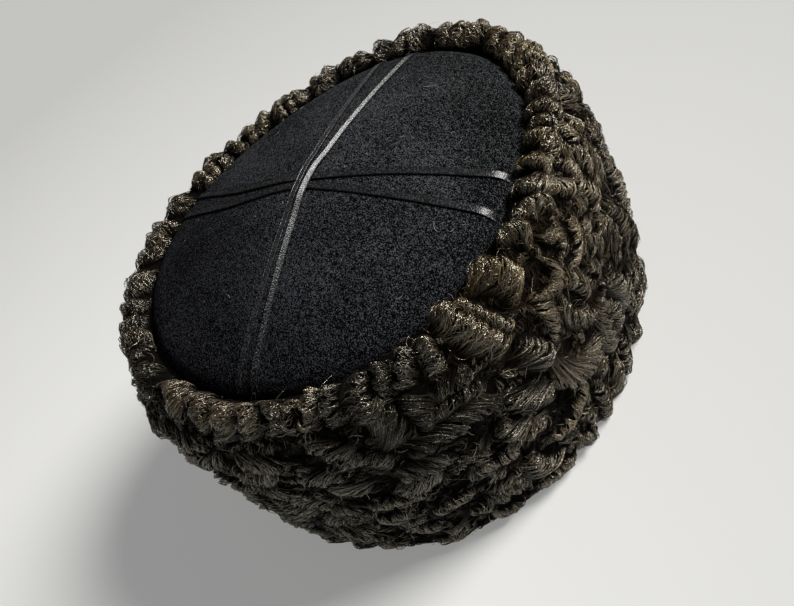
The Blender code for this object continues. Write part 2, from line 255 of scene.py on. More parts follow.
@dataclass(frozen=True)
class HairFinish:
    """Karakul hair: brown-black with an oily gloss, lighter in places and coppery in patches.

    Attributes:
        root: colour of the dark matt shader at the roots and deep in the fur, which paints shade there.
        painted_warm_root: the same, lighter and warmer, on the side towards the key light: painted warm
            light.
        dark, brown, tan: colours of the strands from the lowest tone to the highest.
        tone_stops: tones at which those three colours stand.
        drift_scale, drift: size and strength of the slow change of tone round the hat.
        copper: what the coppery patches multiply the colour by.
        copper_scale, copper_span: size of those patches, and the noise over which they come in.
        copper_warmth: how much likelier they are on the side with the painted warm light.
        gloss_tint: colour of the shine.
        gloss, gloss_drop: roughness at a middle tone, and its fall from the lowest tone to the highest.
        index: refractive index, which sets the strength of the shine.
        dull_span, dull_least: tones over which the gloss comes in, and its share under them.
        painted_recess_shade_span, painted_root_shade_share: relief and share of a strand over which the
        gloss comes in; below them the hair takes the dark matt root shader, painted shade in the
        recesses and at the roots.
        root_rough, root_shine: roughness and specular level of the roots.
        painted_warmth_way, painted_warmth_span: direction of the side towards the key light that takes
            the painted warm light, and the reach along it.
        frizz_scale, frizz_reach: size and height of the fine bumps on the strands.
    """

    name: str = "karakul_hair"
    root: Colour = (0.0026, 0.0019, 0.0012)
    painted_warm_root: Colour = (0.0115, 0.0068, 0.0026)
    dark: Colour = (0.0105, 0.0068, 0.0034)
    brown: Colour = (0.0630, 0.0450, 0.0240)
    tan: Colour = (0.175, 0.132, 0.082)
    tone_stops: Triple = (0.10, 0.50, 0.95)
    drift_scale: float = 38.0
    drift: float = 0.5
    copper: Colour = (1.0, 0.90, 0.62)
    copper_scale: float = 21.0
    copper_span: Span = (0.45, 0.75)
    copper_warmth: float = 0.6
    gloss_tint: Colour = (1.0, 0.955, 0.81)
    gloss: float = 0.21
    gloss_drop: float = 0.07
    index: float = 1.80
    dull_span: Span = (-0.25, 0.12)
    dull_least: float = 0.25
    painted_recess_shade_span: Span = (0.26, 0.90)
    painted_root_shade_share: float = 0.45
    root_rough: float = 0.55
    root_shine: float = 0.08
    painted_warmth_way: Triple = (0.60, 0.62, 0.45)
    painted_warmth_span: Span = (0.06, 0.125)
    frizz_scale: float = 700.0
    frizz_reach: float = 0.0009

    def make(self) -> bpy.types.Material:
        """Glossy hair over matt roots.

        The colour follows each strand's tone and a slow drift round the hat. The roots, the
        strands deep in the fur and the darkest strands take a second, dark matt shader: painted shade at
        the roots and in the recesses. The roots on the side towards the key light are painted lighter
        and warmer.

        Returns:
            The material.
        """
        book = NodeBook(self.name)
        tone = book.attribute("tone")
        shade = tone + (book.noise(self.drift_scale) - 0.5) * self.drift
        colour = book.ramp(shade, *zip(self.tone_stops, (self.dark, self.brown, self.tan)))
        # painted warm light on the side towards the key; the real copper patches are also made likelier
        # there
        painted_warm_side = book.spread(book.along(self.painted_warmth_way), *self.painted_warmth_span)
        patch = book.noise(self.copper_scale) + (painted_warm_side - 0.5) * self.copper_warmth
        colour = book.mix(book.spread(patch, *self.copper_span), colour, self.copper, "MULTIPLY")
        # painted shade: strands low in the fur, near their roots or of the darkest tones take the dark
        # matt root shader
        lit = book.spread(book.attribute("depth"), *self.painted_recess_shade_span)
        lit = lit * book.spread(book.attribute("tip"), 0.0, self.painted_root_shade_share)
        lit = lit * (book.spread(tone, *self.dull_span) * (1 - self.dull_least) + self.dull_least)
        tint = (*self.gloss_tint, 1)
        root = book.second(Base_Color=book.mix(painted_warm_side, self.root, self.painted_warm_root), Specular_Tint=tint,
                           Roughness=self.root_rough, Specular_IOR_Level=self.root_shine)
        book.finish(Base_Color=colour, Roughness=self.gloss + (0.5 - tone) * self.gloss_drop,
                    Specular_Tint=tint, Specular_IOR_Level=1.0, IOR=self.index,
                    Normal=book.bump(book.noise(self.frizz_scale), self.frizz_reach))
        return book.blend(lit, root)


@dataclass(frozen=True)
class PeltFinish:
    """Ground of the fur under the locks, and the plain skin inside the band."""

    name: str = "karakul_ground"
    hair: Colour = (0.0028, 0.0023, 0.0018)
    skin: Colour = (0.030, 0.024, 0.019)
    grain: Colour = (0.0040, 0.0035, 0.0030)
    grain_scale: float = 900.0
    grain_span: Span = (0.35, 0.75)
    grain_share: float = 0.5
    grain_reach: float = 0.0006
    rough: float = 0.80
    shine: float = 0.03

    def make(self) -> bpy.types.Material:
        """Dark matted hair outside; inside a matt suede with a fine grain.

        Returns:
            The material.
        """
        book = NodeBook(self.name)
        inside = book.attribute("inside")
        grain = book.noise(self.grain_scale, 3.0)
        colour = book.mix(inside, self.hair, self.skin)
        share = book.spread(grain, *self.grain_span) * self.grain_share
        return book.finish(Base_Color=book.mix(share, colour, self.grain),
                           Roughness=self.rough + grain * (1 - self.rough),
                           Specular_IOR_Level=self.shine, Normal=book.bump(grain, self.grain_reach))


@dataclass(frozen=True)
class WoolFinish:
    """Charcoal wool cloth with a short felted nap.

    Attributes:
        deep, body, fleck: colours from the gaps between the fibres to the fibres on top.
        level_stops: levels at which those three colours stand.
        scales: sizes of the flecks, of the patches between them and of slow clouds.
        shares: their shares in the level.
        painted_shade_way, painted_shade_span: direction across the crown along which light and shade are
            painted, and the reach along it.
        painted_light_ramp: what the colour is multiplied by along that reach: painted shade on the side
            away from the key light, rising to a lighter painted sheen band before the far edge.
        relief_shares, relief_reach, relief: the parts, height and strength of the nap's bump.
        rough, shine: roughness and specular level.
    """

    name: str = "charcoal_wool"
    deep: Colour = (0.0008, 0.0008, 0.0010)
    body: Colour = (0.0060, 0.0065, 0.0077)
    fleck: Colour = (0.1190, 0.1240, 0.1350)
    level_stops: Triple = (0.465, 0.54, 0.615)
    scales: Triple = (2050.0, 620.0, 26.0)
    shares: Triple = (0.76, 0.18, 0.12)
    painted_shade_way: Triple = (0.18, 0.984, 0.0)
    painted_shade_span: Span = (-0.060, 0.065)
    painted_light_ramp: tuple[tuple[float, Colour], ...] = (
        (0.0, (0.315, 0.317, 0.340)), (0.18, (0.400, 0.404, 0.428)), (0.34, (0.540, 0.546, 0.562)),
        (0.78, (0.585, 0.600, 0.585)), (1.0, (0.505, 0.520, 0.498)))
    relief_shares: tuple[float, float] = (0.7, 0.3)
    relief_reach: float = 0.0007
    relief: float = 0.7
    rough: float = 0.95
    shine: float = 0.03

    def make(self) -> bpy.types.Material:
        """Pepper-and-salt flecks about half a millimetre wide over slow clouds, with a nap bump.

        Light and shade are painted into the colour across the crown: it darkens from one side to the
        other, with a lighter painted sheen band before the far edge.

        Returns:
            The material.
        """
        book = NodeBook(self.name)
        fine = book.noise(self.scales[0], roughness=0.6)
        coarse = book.noise(self.scales[1])
        cloud = book.noise(self.scales[2])
        level = fine * self.shares[0] + coarse * self.shares[1] + cloud * self.shares[2]
        colour = book.ramp(level, *zip(self.level_stops, (self.deep, self.body, self.fleck)))
        # painted light and shade across the crown, multiplied into the colour
        light = book.ramp(book.spread(book.along(self.painted_shade_way), *self.painted_shade_span), *self.painted_light_ramp)
        nap = fine * self.relief_shares[0] + coarse * self.relief_shares[1]
        return book.finish(Base_Color=book.mix(1.0, colour, light, "MULTIPLY"),
                           Roughness=self.rough, Specular_IOR_Level=self.shine,
                           Normal=book.bump(nap, self.relief_reach, self.relief))


@dataclass(frozen=True)
class SatinFinish:
    """Black satin ribbon.

    Attributes:
        gloss, coat: specular level, and weight of the clear coat.
        body, worn: colours between the threads and on top of them.
        dull: the same two colours where the sheen is painted out.
        dull_rough, dull_shine: roughness and specular level there.
        painted_sheen_way, painted_sheen_span: direction along which the sheen is painted in, and the
            reach along it.
        painted_sheen_share, painted_sheen_grain: weight of that reach beside the weave, and the sum over
            which it shows.
        weave_scale, weave_span, weave_reach, weave_relief: size, contrast, height and bump of the weave.
        rough, rough_weave: roughness between the threads, and what they add.
        coat_rough: roughness of the clear coat.
    """

    name: str = "black_satin"
    gloss: float = 0.8
    coat: float = 0.15
    body: Colour = (0.0030, 0.0031, 0.0035)
    worn: Colour = (0.042, 0.043, 0.046)
    dull: tuple[Colour, Colour] = ((0.0020, 0.0021, 0.0024), (0.0200, 0.0208, 0.0225))
    painted_sheen_way: Triple = (-0.52, 0.85, 0.0)
    painted_sheen_span: Span = (-0.100, -0.018)
    painted_sheen_share: float = 0.5
    painted_sheen_grain: Span = (0.60, 0.74)
    dull_rough: float = 0.9
    dull_shine: float = 0.05
    weave_scale: float = 1600.0
    weave_span: Span = (0.45, 0.70)
    weave_reach: float = 0.0004
    weave_relief: float = 0.4
    rough: float = 0.20
    rough_weave: float = 0.16
    coat_rough: float = 0.20

    def make(self) -> bpy.types.Material:
        """Near-black with a fine weave in the colour, the roughness and the bump.

        The sheen is painted in along `painted_sheen_way`: the gloss is a real reflection, but where it
        fades is set by place; towards its low end only the highest threads keep it, and a dull cloth
        shows between them.

        Returns:
            The material.
        """
        book = NodeBook(self.name)
        weave = book.noise(self.weave_scale, 1.0)
        # painted sheen: the glossy shader fades out by place along the ribbon
        along = book.spread(book.along(self.painted_sheen_way), *self.painted_sheen_span) * self.painted_sheen_share
        relief = book.bump(weave, self.weave_reach, self.weave_relief)
        worn = book.spread(weave, *self.weave_span)
        matt = book.second(Base_Color=book.mix(worn, *self.dull), Roughness=self.dull_rough,
                           Specular_IOR_Level=self.dull_shine, Normal=relief)
        book.finish(Base_Color=book.mix(worn, self.body, self.worn),
                    Roughness=self.rough + weave * self.rough_weave,
                    Specular_IOR_Level=self.gloss, Coat_Weight=self.coat,
                    Coat_Roughness=self.coat_rough, Normal=relief)
        return book.blend(book.spread(weave + along, *self.painted_sheen_grain), matt)


@dataclass(frozen=True)
class LintFinish:
    """Pale stray hair on the cloth."""

    name: str = "pale_lint"
    colours: tuple[Colour, Colour] = ((0.16, 0.155, 0.145), (0.42, 0.41, 0.39))
    patch_scale: float = 700.0
    rough: float = 0.6

    def make(self) -> bpy.types.Material:
        """Pale grey, a little uneven along the hair.

        Returns:
            The material.
        """
        book = NodeBook(self.name)
        patchy = book.noise(self.patch_scale, 1.0)
        return book.finish(Base_Color=book.mix(patchy, *self.colours), Roughness=self.rough)


@dataclass(frozen=True)
class FloorFinish:
    """Pale matt floor with a faint painted glow of its own; a pool of light and a darkening of the far
    backdrop are painted into its colour and its glow.

    Attributes:
        colour: the floor's colour.
        mottle_scale, mottle: size of the faint mottle, and the factor of its lighter parts.
        glow, glow_colour: strength and colour of the floor's painted glow.
        pool_place: middle of the painted pool of light.
        pool_span, pool_share: distances over which it fades, and what is left past them.
        painted_far_shade_span, painted_far_shade_share: the same for the painted shade on the backdrop.
        rough: roughness.
    """

    name: str = "pale_floor"
    colour: Colour = (0.515, 0.515, 0.504)
    mottle_scale: float = 9.0
    mottle: float = 1.02
    glow: float = 0.240
    glow_colour: Colour = (1.0, 1.0, 0.98)
    pool_place: Triple = (0.04, -0.16, 0.0)
    pool_span: Span = (0.12, 0.60)
    pool_share: float = 0.66
    painted_far_shade_span: Span = (1.3, 5.2)
    painted_far_shade_share: float = 0.26
    rough: float = 0.9

    def make(self) -> bpy.types.Material:
        """A very faint mottle, with a painted pool of light and painted shade on the far backdrop in the
        colour and the glow.

        Returns:
            The material.
        """
        book = NodeBook(self.name)
        mottle = book.noise(self.mottle_scale, 3.0)
        light = tuple(self.mottle * part for part in self.colour)
        away = book.add("ShaderNodeVectorMath", {"operation": "DISTANCE"},
                        {0: book.place(), 1: self.pool_place}, "Value")
        # painted pool of light, then painted shade on the far backdrop
        pool = book.mix(book.spread(away, *self.pool_span), (1.0,) * 3, (self.pool_share,) * 3)
        pool = book.mix(book.spread(away, *self.painted_far_shade_span), pool, (self.painted_far_shade_share,) * 3)
        colour = book.mix(1.0, book.mix(mottle, self.colour, light), pool, "MULTIPLY")
        # painted glow: the floor gives light of its own, faded with the pool
        glow = book.mix(1.0, self.glow_colour, pool, "MULTIPLY")
        return book.finish(Base_Color=colour, Roughness=self.rough, Emission_Color=glow,
                           Emission_Strength=self.glow)


def mesh_object(name: str, points: np.ndarray, faces: np.ndarray,
                numbers: dict[str, np.ndarray] | None = None,
                normals: np.ndarray | None = None) -> bpy.types.Object:
    """Makes a smooth mesh piece from arrays.

    Args:
        name: the piece's name.
        points: vertex positions, a row each.
        faces: vertex numbers of each face, a row each; a triangle repeats its last number.
        numbers: values stored on the vertices, by attribute name.
        normals: the way each vertex faces, a row each, where it isn't the faces' own.

    Returns:
        The new object at the origin.
    """
    corners = faces.shape[1]
    triangle = (faces[:, -1] == faces[:, -2]) if corners == 4 else np.zeros(len(faces), bool)
    sizes = np.where(triangle, 3, corners)
    starts = np.concatenate([[0], np.cumsum(sizes)[:-1]])
    keep = np.ones(faces.shape, bool)
    keep[:, -1] = ~triangle
    mesh = bpy.data.meshes.new(name)
    mesh.vertices.add(len(points))
    mesh.vertices.foreach_set("co", np.ascontiguousarray(points, np.float32).ravel())
    mesh.loops.add(int(sizes.sum()))
    mesh.loops.foreach_set("vertex_index", faces[keep].astype(np.int32))
    mesh.polygons.add(len(faces))
    mesh.polygons.foreach_set("loop_start", starts.astype(np.int32))
    mesh.polygons.foreach_set("loop_total", sizes.astype(np.int32))
    mesh.polygons.foreach_set("use_smooth", np.ones(len(faces), bool))
    mesh.update(calc_edges=True)
    for key, values in (numbers or {}).items():
        layer = mesh.attributes.new(key, "FLOAT", "POINT")
        layer.data.foreach_set("value", np.ascontiguousarray(values, np.float32).ravel())
    if normals is not None:
        mesh.normals_split_custom_set_from_vertices(np.ascontiguousarray(normals, np.float32))
    piece = bpy.data.objects.new(name, mesh)
    bpy.context.scene.collection.objects.link(piece)
    return piece


def grid_faces(rows: int, columns: int, closed: bool = False) -> np.ndarray:
    """Quads of a grid whose vertex number is row * columns + column.

    Args:
        rows: number of rows.
        columns: number of columns.
        closed: True where the last column meets the first.

    Returns:
        Four vertex numbers for each quad.
    """
    row, column = np.meshgrid(np.arange(rows - 1), np.arange(columns - (not closed)), indexing="ij")
    after = (column + 1) % columns
    return np.stack([row * columns + column, row * columns + after,
                     (row + 1) * columns + after, (row + 1) * columns + column],
                    axis=-1).reshape(-1, 4)


def fan_faces(ring: np.ndarray, hub: int, turned: bool = False) -> np.ndarray:
    """Triangles from each edge of a closed ring of vertices to one hub.

    Args:
        ring: vertex numbers in order round the ring.
        hub: number of the vertex in the middle.
        turned: True where the triangles face the other way.

    Returns:
        Four vertex numbers for each triangle, the hub's twice.
    """
    after, hubs = np.roll(ring, -1), np.full(len(ring), hub)
    edge = (after, ring) if turned else (ring, after)
    return np.stack([*edge, hubs, hubs], axis=-1)


@dataclass(frozen=True)
class HatForm:
    """Shape that the fur, the cloth and the ribbons share, as the solids have it."""

    belly_radius: float = 0.1129
    oval_ratio: float = 0.839
    egg_share: float = 0.0294
    egg_turn: float = 104.8
    fur_top: float = 0.116
    rim_round: float = 0.0065
    rim_radius: float = 0.0975
    bed_depth: float = 0.0030
    nominal_radius: float = 0.100
    rim_fade: float = 0.008
    hem_fade: float = 0.006
    box_turns: int = 720
    round_stations: int = 13
    fine_stations: int = 600
    wall_stations: Table = (
        (0.1078, 0.1040), (0.1102, 0.0986), (0.1116, 0.0920), (0.1125, 0.0750), (0.1129, 0.0550),
        (0.1128, 0.0350), (0.1122, 0.0180), (0.1112, 0.0060), (0.1096, 0.0018), (0.1072, 0.0000))
    inner_stations: Table = (
        (0.0985, 0.0000), (0.0980, 0.0620), (0.0952, 0.0960))

    def section(self, turn: np.ndarray) -> np.ndarray:
        """Radius at a turn over the long half axis: an ellipse times a three-sided swell."""
        oval = 1 / np.sqrt(np.sin(turn) ** 2 + (np.cos(turn) / self.oval_ratio) ** 2)
        return oval * (1 + self.egg_share * np.cos(3 * (turn - math.radians(self.egg_turn))))

    @cached_property
    def middle(self) -> np.ndarray:
        """Middle of the box round the fullest section, which lies on the origin's axis.

        Returns:
            X and Y of that middle, in metres.
        """
        turn = np.linspace(0, 2 * math.pi, self.box_turns, endpoint=False)
        reach = self.belly_radius * self.section(turn)
        plan = np.stack([reach * np.cos(turn), reach * np.sin(turn)])
        return (plan.min(axis=1) + plan.max(axis=1)) / 2

    def place(self, turn: np.ndarray, radius: np.ndarray, height: np.ndarray) -> np.ndarray:
        """Points from a turn in radians, a long half axis and a height.

        Args:
            turn: turn in radians.
            radius: long half axis of the section through the point.
            height: height over the hem.

        Returns:
            A point for each, on the last axis.
        """
        reach = radius * self.section(turn)
        return np.stack([reach * np.cos(turn) - self.middle[0],
                         reach * np.sin(turn) - self.middle[1], height + 0 * reach], axis=-1)

    @cached_property
    def path(self) -> tuple[np.ndarray, np.ndarray, np.ndarray]:
        """Outer path of the fur as drop, radius and height: a half round rim, then the wall.

        Returns:
            Three arrays, a number for each station.
        """
        arc = np.radians(np.linspace(180, 0, self.round_stations))
        radius = np.r_[self.rim_radius + self.rim_round * np.cos(arc),
                       [row[0] for row in self.wall_stations]]
        height = np.r_[self.fur_top - self.rim_round + self.rim_round * np.sin(arc),
                       [row[1] for row in self.wall_stations]]
        return np.r_[0, np.cumsum(np.hypot(np.diff(radius), np.diff(height)))], radius, height

    @property
    def end_of_drop(self) -> float:
        """Drop at the hem, where the path ends."""
        return self.path[0][-1]

    @cached_property
    def fine_path(self) -> np.ndarray:
        """The path at even drops, with the way outward from it.

        Returns:
            Five rows: drop, radius, height, and the outward way's part along each of the last two.
        """
        drop, radius, height = self.path
        even = np.linspace(0, drop[-1], self.fine_stations)
        radius, height = np.interp(even, drop, radius), np.interp(even, drop, height)
        across, up = -np.gradient(height, even), np.gradient(radius, even)
        length = np.hypot(across, up)
        up = up / length * smooth_step((even[-1] - even) / self.hem_fade)
        return np.stack([even, radius, height, across / length, up])

    def on_fur(self, turn: np.ndarray, drop: np.ndarray, relief: np.ndarray,
               quick: float | None = None) -> np.ndarray:
        """Points at a relief over the fur's bed.

        Args:
            turn: turn in radians.
            drop: drop in metres.
            relief: height over the bed, in metres.
            quick: drop over which the relief rises from the cloth, else the form's own.

        Returns:
            Points, one for each place: the path's point moved outward by the relief less the depth
            of the bed, each risen over its own drop from the cloth.
        """
        even, radius, height, across, up = self.fine_path
        drop = np.clip(drop, 0, even[-1])
        rise = smooth_step(drop / (quick or self.rim_fade))
        out = relief * rise - self.bed_depth * smooth_step(drop / self.rim_fade)
        points = self.place(turn, np.interp(drop, even, radius) + out * np.interp(drop, even, across),
                            np.interp(drop, even, height) + out * np.interp(drop, even, up))
        points[..., 2] = np.maximum(points[..., 2], 0)
        return points


@dataclass(frozen=True)
class CurlMap:
    """Where the curls lie on the fur and how high they stand.

    The main curls are those of the solids. The small ones between them are the scene's alone.

    Attributes:
        form: the hat's shape.
        placed: curls given one by one.
        rim_span, rim_pitch: turns over which the rim has an even row of curls, and its pitch.
        rim_drop, rim_curl, rim_heading: drop, length, width, height and heading of that row.
        rim_changes, rim_flip: its changes, and the chance number under which a curl is flipped.
        regions: sizes and headings of the strewn curls by region.
        seed: seed of the random numbers.
        tries, full_size_tries: curls tried, and the share of them that has its full size.
        short_curl: size of the others.
        tested_places, spacing: where a strewn curl is tested, and its least way from the others.
        crest_half: half of the tested part of a crest, by its curl's length.
        strewn_drops: least way of the strewn curls from the cloth and from the hem.
        crest_place, gentle_reach, steep_reach: places of crest and feet, in half widths.
        climb_power, taper_power: powers of the height across and along a curl.
        small_rise, small_ground: height of a small curl over the ground, and the highest ground for it.
        fillers: small curls given one by one.
        grid: columns and lines of the relief's grid.
    """

    form: HatForm
    # turn, drop, length, width, height, heading, bow, steep side
    placed: Table = (
        (271.7, 0.0127, 0.020, 0.012, 0.0040, 55.0, 0.0019, 1),
        (283.4, 0.0122, 0.026, 0.013, 0.0042, 40.0, -0.0056, 1),
        (291.7, 0.0127, 0.025, 0.012, 0.0042, 50.0, -0.0054, 1),
        (298.6, 0.0155, 0.025, 0.013, 0.0044, 80.6, -0.0066, 1),
        (306.1, 0.0152, 0.021, 0.011, 0.0042, 84.3, -0.0046, 1),
        (313.0, 0.0148, 0.021, 0.012, 0.0045, 80.9, -0.0060, 1),
        (317.5, 0.0162, 0.018, 0.009, 0.0042, 106.5, 0.0020, -1),
        (322.4, 0.0155, 0.021, 0.009, 0.0052, 118.0, -0.0014, 1),
        (327.6, 0.0159, 0.020, 0.010, 0.0042, 100.7, 0.0014, 1),
        (333.9, 0.0187, 0.024, 0.014, 0.0052, 100.7, 0.0020, -1),
        (339.5, 0.0170, 0.019, 0.009, 0.0040, 109.4, -0.0009, 1),
        (345.0, 0.0172, 0.018, 0.010, 0.0044, 127.6, -0.0011, 1),
        (350.6, 0.0190, 0.018, 0.010, 0.0042, 95.0, -0.0010, -1),
        (0.4, 0.0231, 0.038, 0.015, 0.0062, 71.4, 0.0004, -1),
        (4.9, 0.0239, 0.030, 0.008, 0.0046, 69.5, 0.0001, -1),
        (12.4, 0.0188, 0.027, 0.016, 0.0058, 62.0, -0.0042, -1),
        (23.2, 0.0164, 0.020, 0.010, 0.0044, 52.0, -0.0044, -1),
        (32.0, 0.0177, 0.026, 0.009, 0.0030, 37.0, -0.0026, -1),
        (21.9, 0.0393, 0.022, 0.011, 0.0040, 153.0, -0.0069, 1),
        (16.6, 0.0505, 0.024, 0.010, 0.0036, 95.0, -0.0026, 1),
        (18.4, 0.0800, 0.044, 0.014, 0.0052, 28.0, 0.0110, 1),
        (7.9, 0.0560, 0.026, 0.014, 0.0050, 64.3, -0.0035, -1),
        (3.0, 0.0680, 0.032, 0.011, 0.0042, 52.0, 0.0045, 1),
        (346.7, 0.0531, 0.044, 0.012, 0.0050, 6.0, -0.0046, 1),
        (349.0, 0.0440, 0.028, 0.010, 0.0042, 12.0, -0.0030, -1),
        (356.1, 0.0736, 0.020, 0.010, 0.0048, 60.7, 0.0050, 1),
        (356.0, 0.0857, 0.026, 0.008, 0.0036, 13.1, -0.0025, 1),
        (347.7, 0.0877, 0.022, 0.009, 0.0046, 23.7, -0.0035, -1),
        (355.4, 0.1089, 0.026, 0.014, 0.0044, 61.0, 0.0039, -1),
        (336.1, 0.0632, 0.024, 0.012, 0.0046, 9.9, -0.0012, 1),
        (325.6, 0.0487, 0.026, 0.011, 0.0042, 28.0, -0.0066, -1),
        (322.2, 0.0330, 0.020, 0.009, 0.0036, 38.0, 0.0015, 1),
        (333.6, 0.0317, 0.030, 0.015, 0.0046, 81.9, -0.0052, -1),
        (342.6, 0.0352, 0.022, 0.012, 0.0042, 81.9, -0.0010, 1),
        (39.4, 0.0912, 0.030, 0.011, 0.0046, 86.5, -0.0022, -1),
        (29.9, 0.0908, 0.034, 0.012, 0.0046, 100.5, 0.0048, -1),
        (34.4, 0.0429, 0.024, 0.009, 0.0030, 122.9, -0.0039, 1),
        (46.1, 0.0704, 0.032, 0.010, 0.0036, 86.2, -0.0041, -1),
        (24.1, 0.0652, 0.034, 0.009, 0.0036, 66.7, 0.0040, -1),
        (9.0, 0.1015, 0.030, 0.011, 0.0044, 162.1, -0.0026, 1))
    rim_span: Span = (39.0, 266.0)
    rim_pitch: float = 5.6
    rim_drop: float = 0.0118
    rim_curl: Triple = (0.023, 0.0102, 0.0036)
    rim_heading: float = 90.0
    # changes of a rim curl: drop, shares of length, width and height, heading, bow
    rim_changes: tuple[float, ...] = (0.0012, 0.15, 0.12, 0.18, 24.0, 0.0045)
    rim_flip: float = -0.4
    # from turn, to turn, from drop, to drop, length, width, height, heading, spread of heading
    regions: Table = (
        (28.0, 112.0, 0.024, 0.070, 0.020, 0.0085, 0.0025, 60.0, 25.0),
        (8.0, 120.0, 0.070, 0.128, 0.029, 0.0110, 0.0041, 95.0, 22.0),
        (245.0, 360.0, 0.024, 0.058, 0.027, 0.0110, 0.0041, 5.0, 22.0),
        (245.0, 360.0, 0.058, 0.128, 0.021, 0.0092, 0.0036, 14.0, 24.0),
        (120.0, 190.0, 0.024, 0.128, 0.026, 0.0105, 0.0039, 70.0, 30.0),
        (190.0, 245.0, 0.024, 0.128, 0.026, 0.0105, 0.0039, 25.0, 30.0),
        (0.0, 360.0, 0.024, 0.128, 0.024, 0.0100, 0.0040, 45.0, 30.0))
    seed: int = 1907
    tries: int = 5200
    full_size_tries: float = 0.55
    short_curl: float = 0.62
    # fixed part and shrinking part of a short curl's width and of its height
    short_width: tuple[float, float] = (0.55, 0.45)
    short_height: tuple[float, float] = (0.6, 0.4)
    # changes of a strewn curl: shares of length, width and height, bow by length
    strewn_changes: tuple[float, ...] = (0.28, 0.14, 0.20, 0.16)
    strewn_flip: float = -0.3
    tested_places: Triple = (-0.34, 0.0, 0.34)
    spacing: float = 0.36
    crest_half: float = 0.40
    strewn_drops: Span = (0.026, 0.003)
    crest_place: float = 0.25
    gentle_reach: float = 1.35
    steep_reach: float = 0.95
    climb_power: float = 0.8
    taper_power: float = 0.6
    small_tries: int = 16000
    small_drops: Span = (0.016, 0.002)
    small_length: Span = (0.0085, 0.0150)
    small_width: Span = (0.0042, 0.0066)
    small_rise: Span = (0.0003, 0.0012)
    small_swing: float = 75.0
    small_bow: float = 0.22
    small_flip: float = -0.2
    small_spacing: float = 0.34
    small_ground: float = 0.0019
    # turn, drop, length, width, height, heading, bow, steep side
    fillers: Table = (
        (42.5, 0.0262, 0.016, 0.0090, 0.0036, 60.0, 0.0022, 1),
        (47.0, 0.0290, 0.018, 0.0094, 0.0037, 105.0, -0.0024, 1),
        (51.5, 0.0262, 0.017, 0.0092, 0.0038, 75.0, 0.0020, -1),
        (56.0, 0.0250, 0.018, 0.0094, 0.0036, 115.0, -0.0026, 1),
        (60.5, 0.0262, 0.016, 0.0090, 0.0038, 70.0, 0.0022, 1),
        (65.5, 0.0242, 0.018, 0.0092, 0.0036, 100.0, -0.0020, -1),
        (70.5, 0.0238, 0.016, 0.0090, 0.0034, 80.0, 0.0022, 1),
        (54.0, 0.0345, 0.017, 0.0090, 0.0034, 90.0, 0.0022, 1))
    grid: tuple[int, int] = (1440, 401)

    def rim_rows(self) -> list[tuple[float, ...]]:
        """The listed curls, then one for each pitch across the rest of the rim.

        Returns:
            The rows, in the columns of `placed`.
        """
        rows = list(self.placed)
        length, width, height = self.rim_curl
        drops, lengths, widths, heights, headings, bows = self.rim_changes
        rng = np.random.default_rng(self.seed)
        for turn in np.arange(self.rim_span[0], self.rim_span[1], self.rim_pitch):
            shift, grow, tilt, bow, lean = rng.uniform(-1, 1, 5)
            rows.append((turn + shift, self.rim_drop + drops * grow, length * (1 + lengths * grow),
                         width * (1 + widths * bow), height * (1 + heights * tilt),
                         self.rim_heading + headings * tilt, bows * bow,
                         1 if lean > self.rim_flip else -1))
        return rows

    def region_of(self, turn: float, drop: float) -> tuple[float, ...]:
        """The first region that holds a place on the wall.

        Args:
            turn: turn in degrees.
            drop: drop in metres.

        Returns:
            The region's row, which is the last one where none holds it.
        """
        for row in self.regions:
            if row[0] <= turn < row[1] and row[2] <= drop < row[3]:
                return row
        return self.regions[-1]

    def across_turn(self, first: Any, second: Any) -> np.ndarray:
        """Way round the hat from the second turn to the first, in metres, the short way."""
        return np.radians((first - second + 180) % 360 - 180) * self.form.nominal_radius

    def crest_distance(self, turn: float, drop: float, rows: np.ndarray) -> np.ndarray:
        """Distance from a place to the middle part of each curl's chord.

        Args:
            turn: turn in degrees.
            drop: drop in metres.
            rows: the curls.

        Returns:
            A distance for each curl, in metres.
        """
        heading = np.radians(rows[:, 5])
        way, down = self.across_turn(turn, rows[:, 0]), drop - rows[:, 1]
        half = self.crest_half * rows[:, 2]
        along = np.clip(way * np.cos(heading) + down * np.sin(heading), -half, half)
        return np.hypot(way - along * np.cos(heading), down - along * np.sin(heading))

    @cached_property
    def rows(self) -> np.ndarray:
        """Every curl, a row each: the placed ones, then those strewn clear of them.

        Returns:
            The rows, in the columns of `placed`.
        """
        rows = self.rim_rows()
        rng = np.random.default_rng(self.seed + 1)
        lengths, widths, heights, bows = self.strewn_changes
        for attempt in range(self.tries):
            turn = rng.uniform(0, 360)
            drop = rng.uniform(self.strewn_drops[0], self.form.end_of_drop - self.strewn_drops[1])
            bow, lean, grow, swing = rng.uniform(-1, 1, 4)
            shrink = 1.0 if attempt < self.tries * self.full_size_tries else self.short_curl
            length, width, height, heading, spread = self.region_of(turn, drop)[4:]
            length *= shrink * (1 + lengths * grow)
            width *= (self.short_width[0] + self.short_width[1] * shrink) * (1 + widths * bow)
            height *= (self.short_height[0] + self.short_height[1] * shrink) * (1 + heights * grow)
            heading += spread * swing
            table = np.array(rows)
            clear = True
            for share in self.tested_places:
                way = length * share * math.cos(math.radians(heading)) / self.form.nominal_radius
                gap = self.crest_distance(
                    turn + math.degrees(way),
                    drop + length * share * math.sin(math.radians(heading)), table)
                clear = clear and bool(np.all(gap > self.spacing * (width + table[:, 3])))
            if clear:
                rows.append((turn, drop, length, width, height, heading, bows * length * bow,
                             1 if lean > self.strewn_flip else -1))
        return np.array(rows)

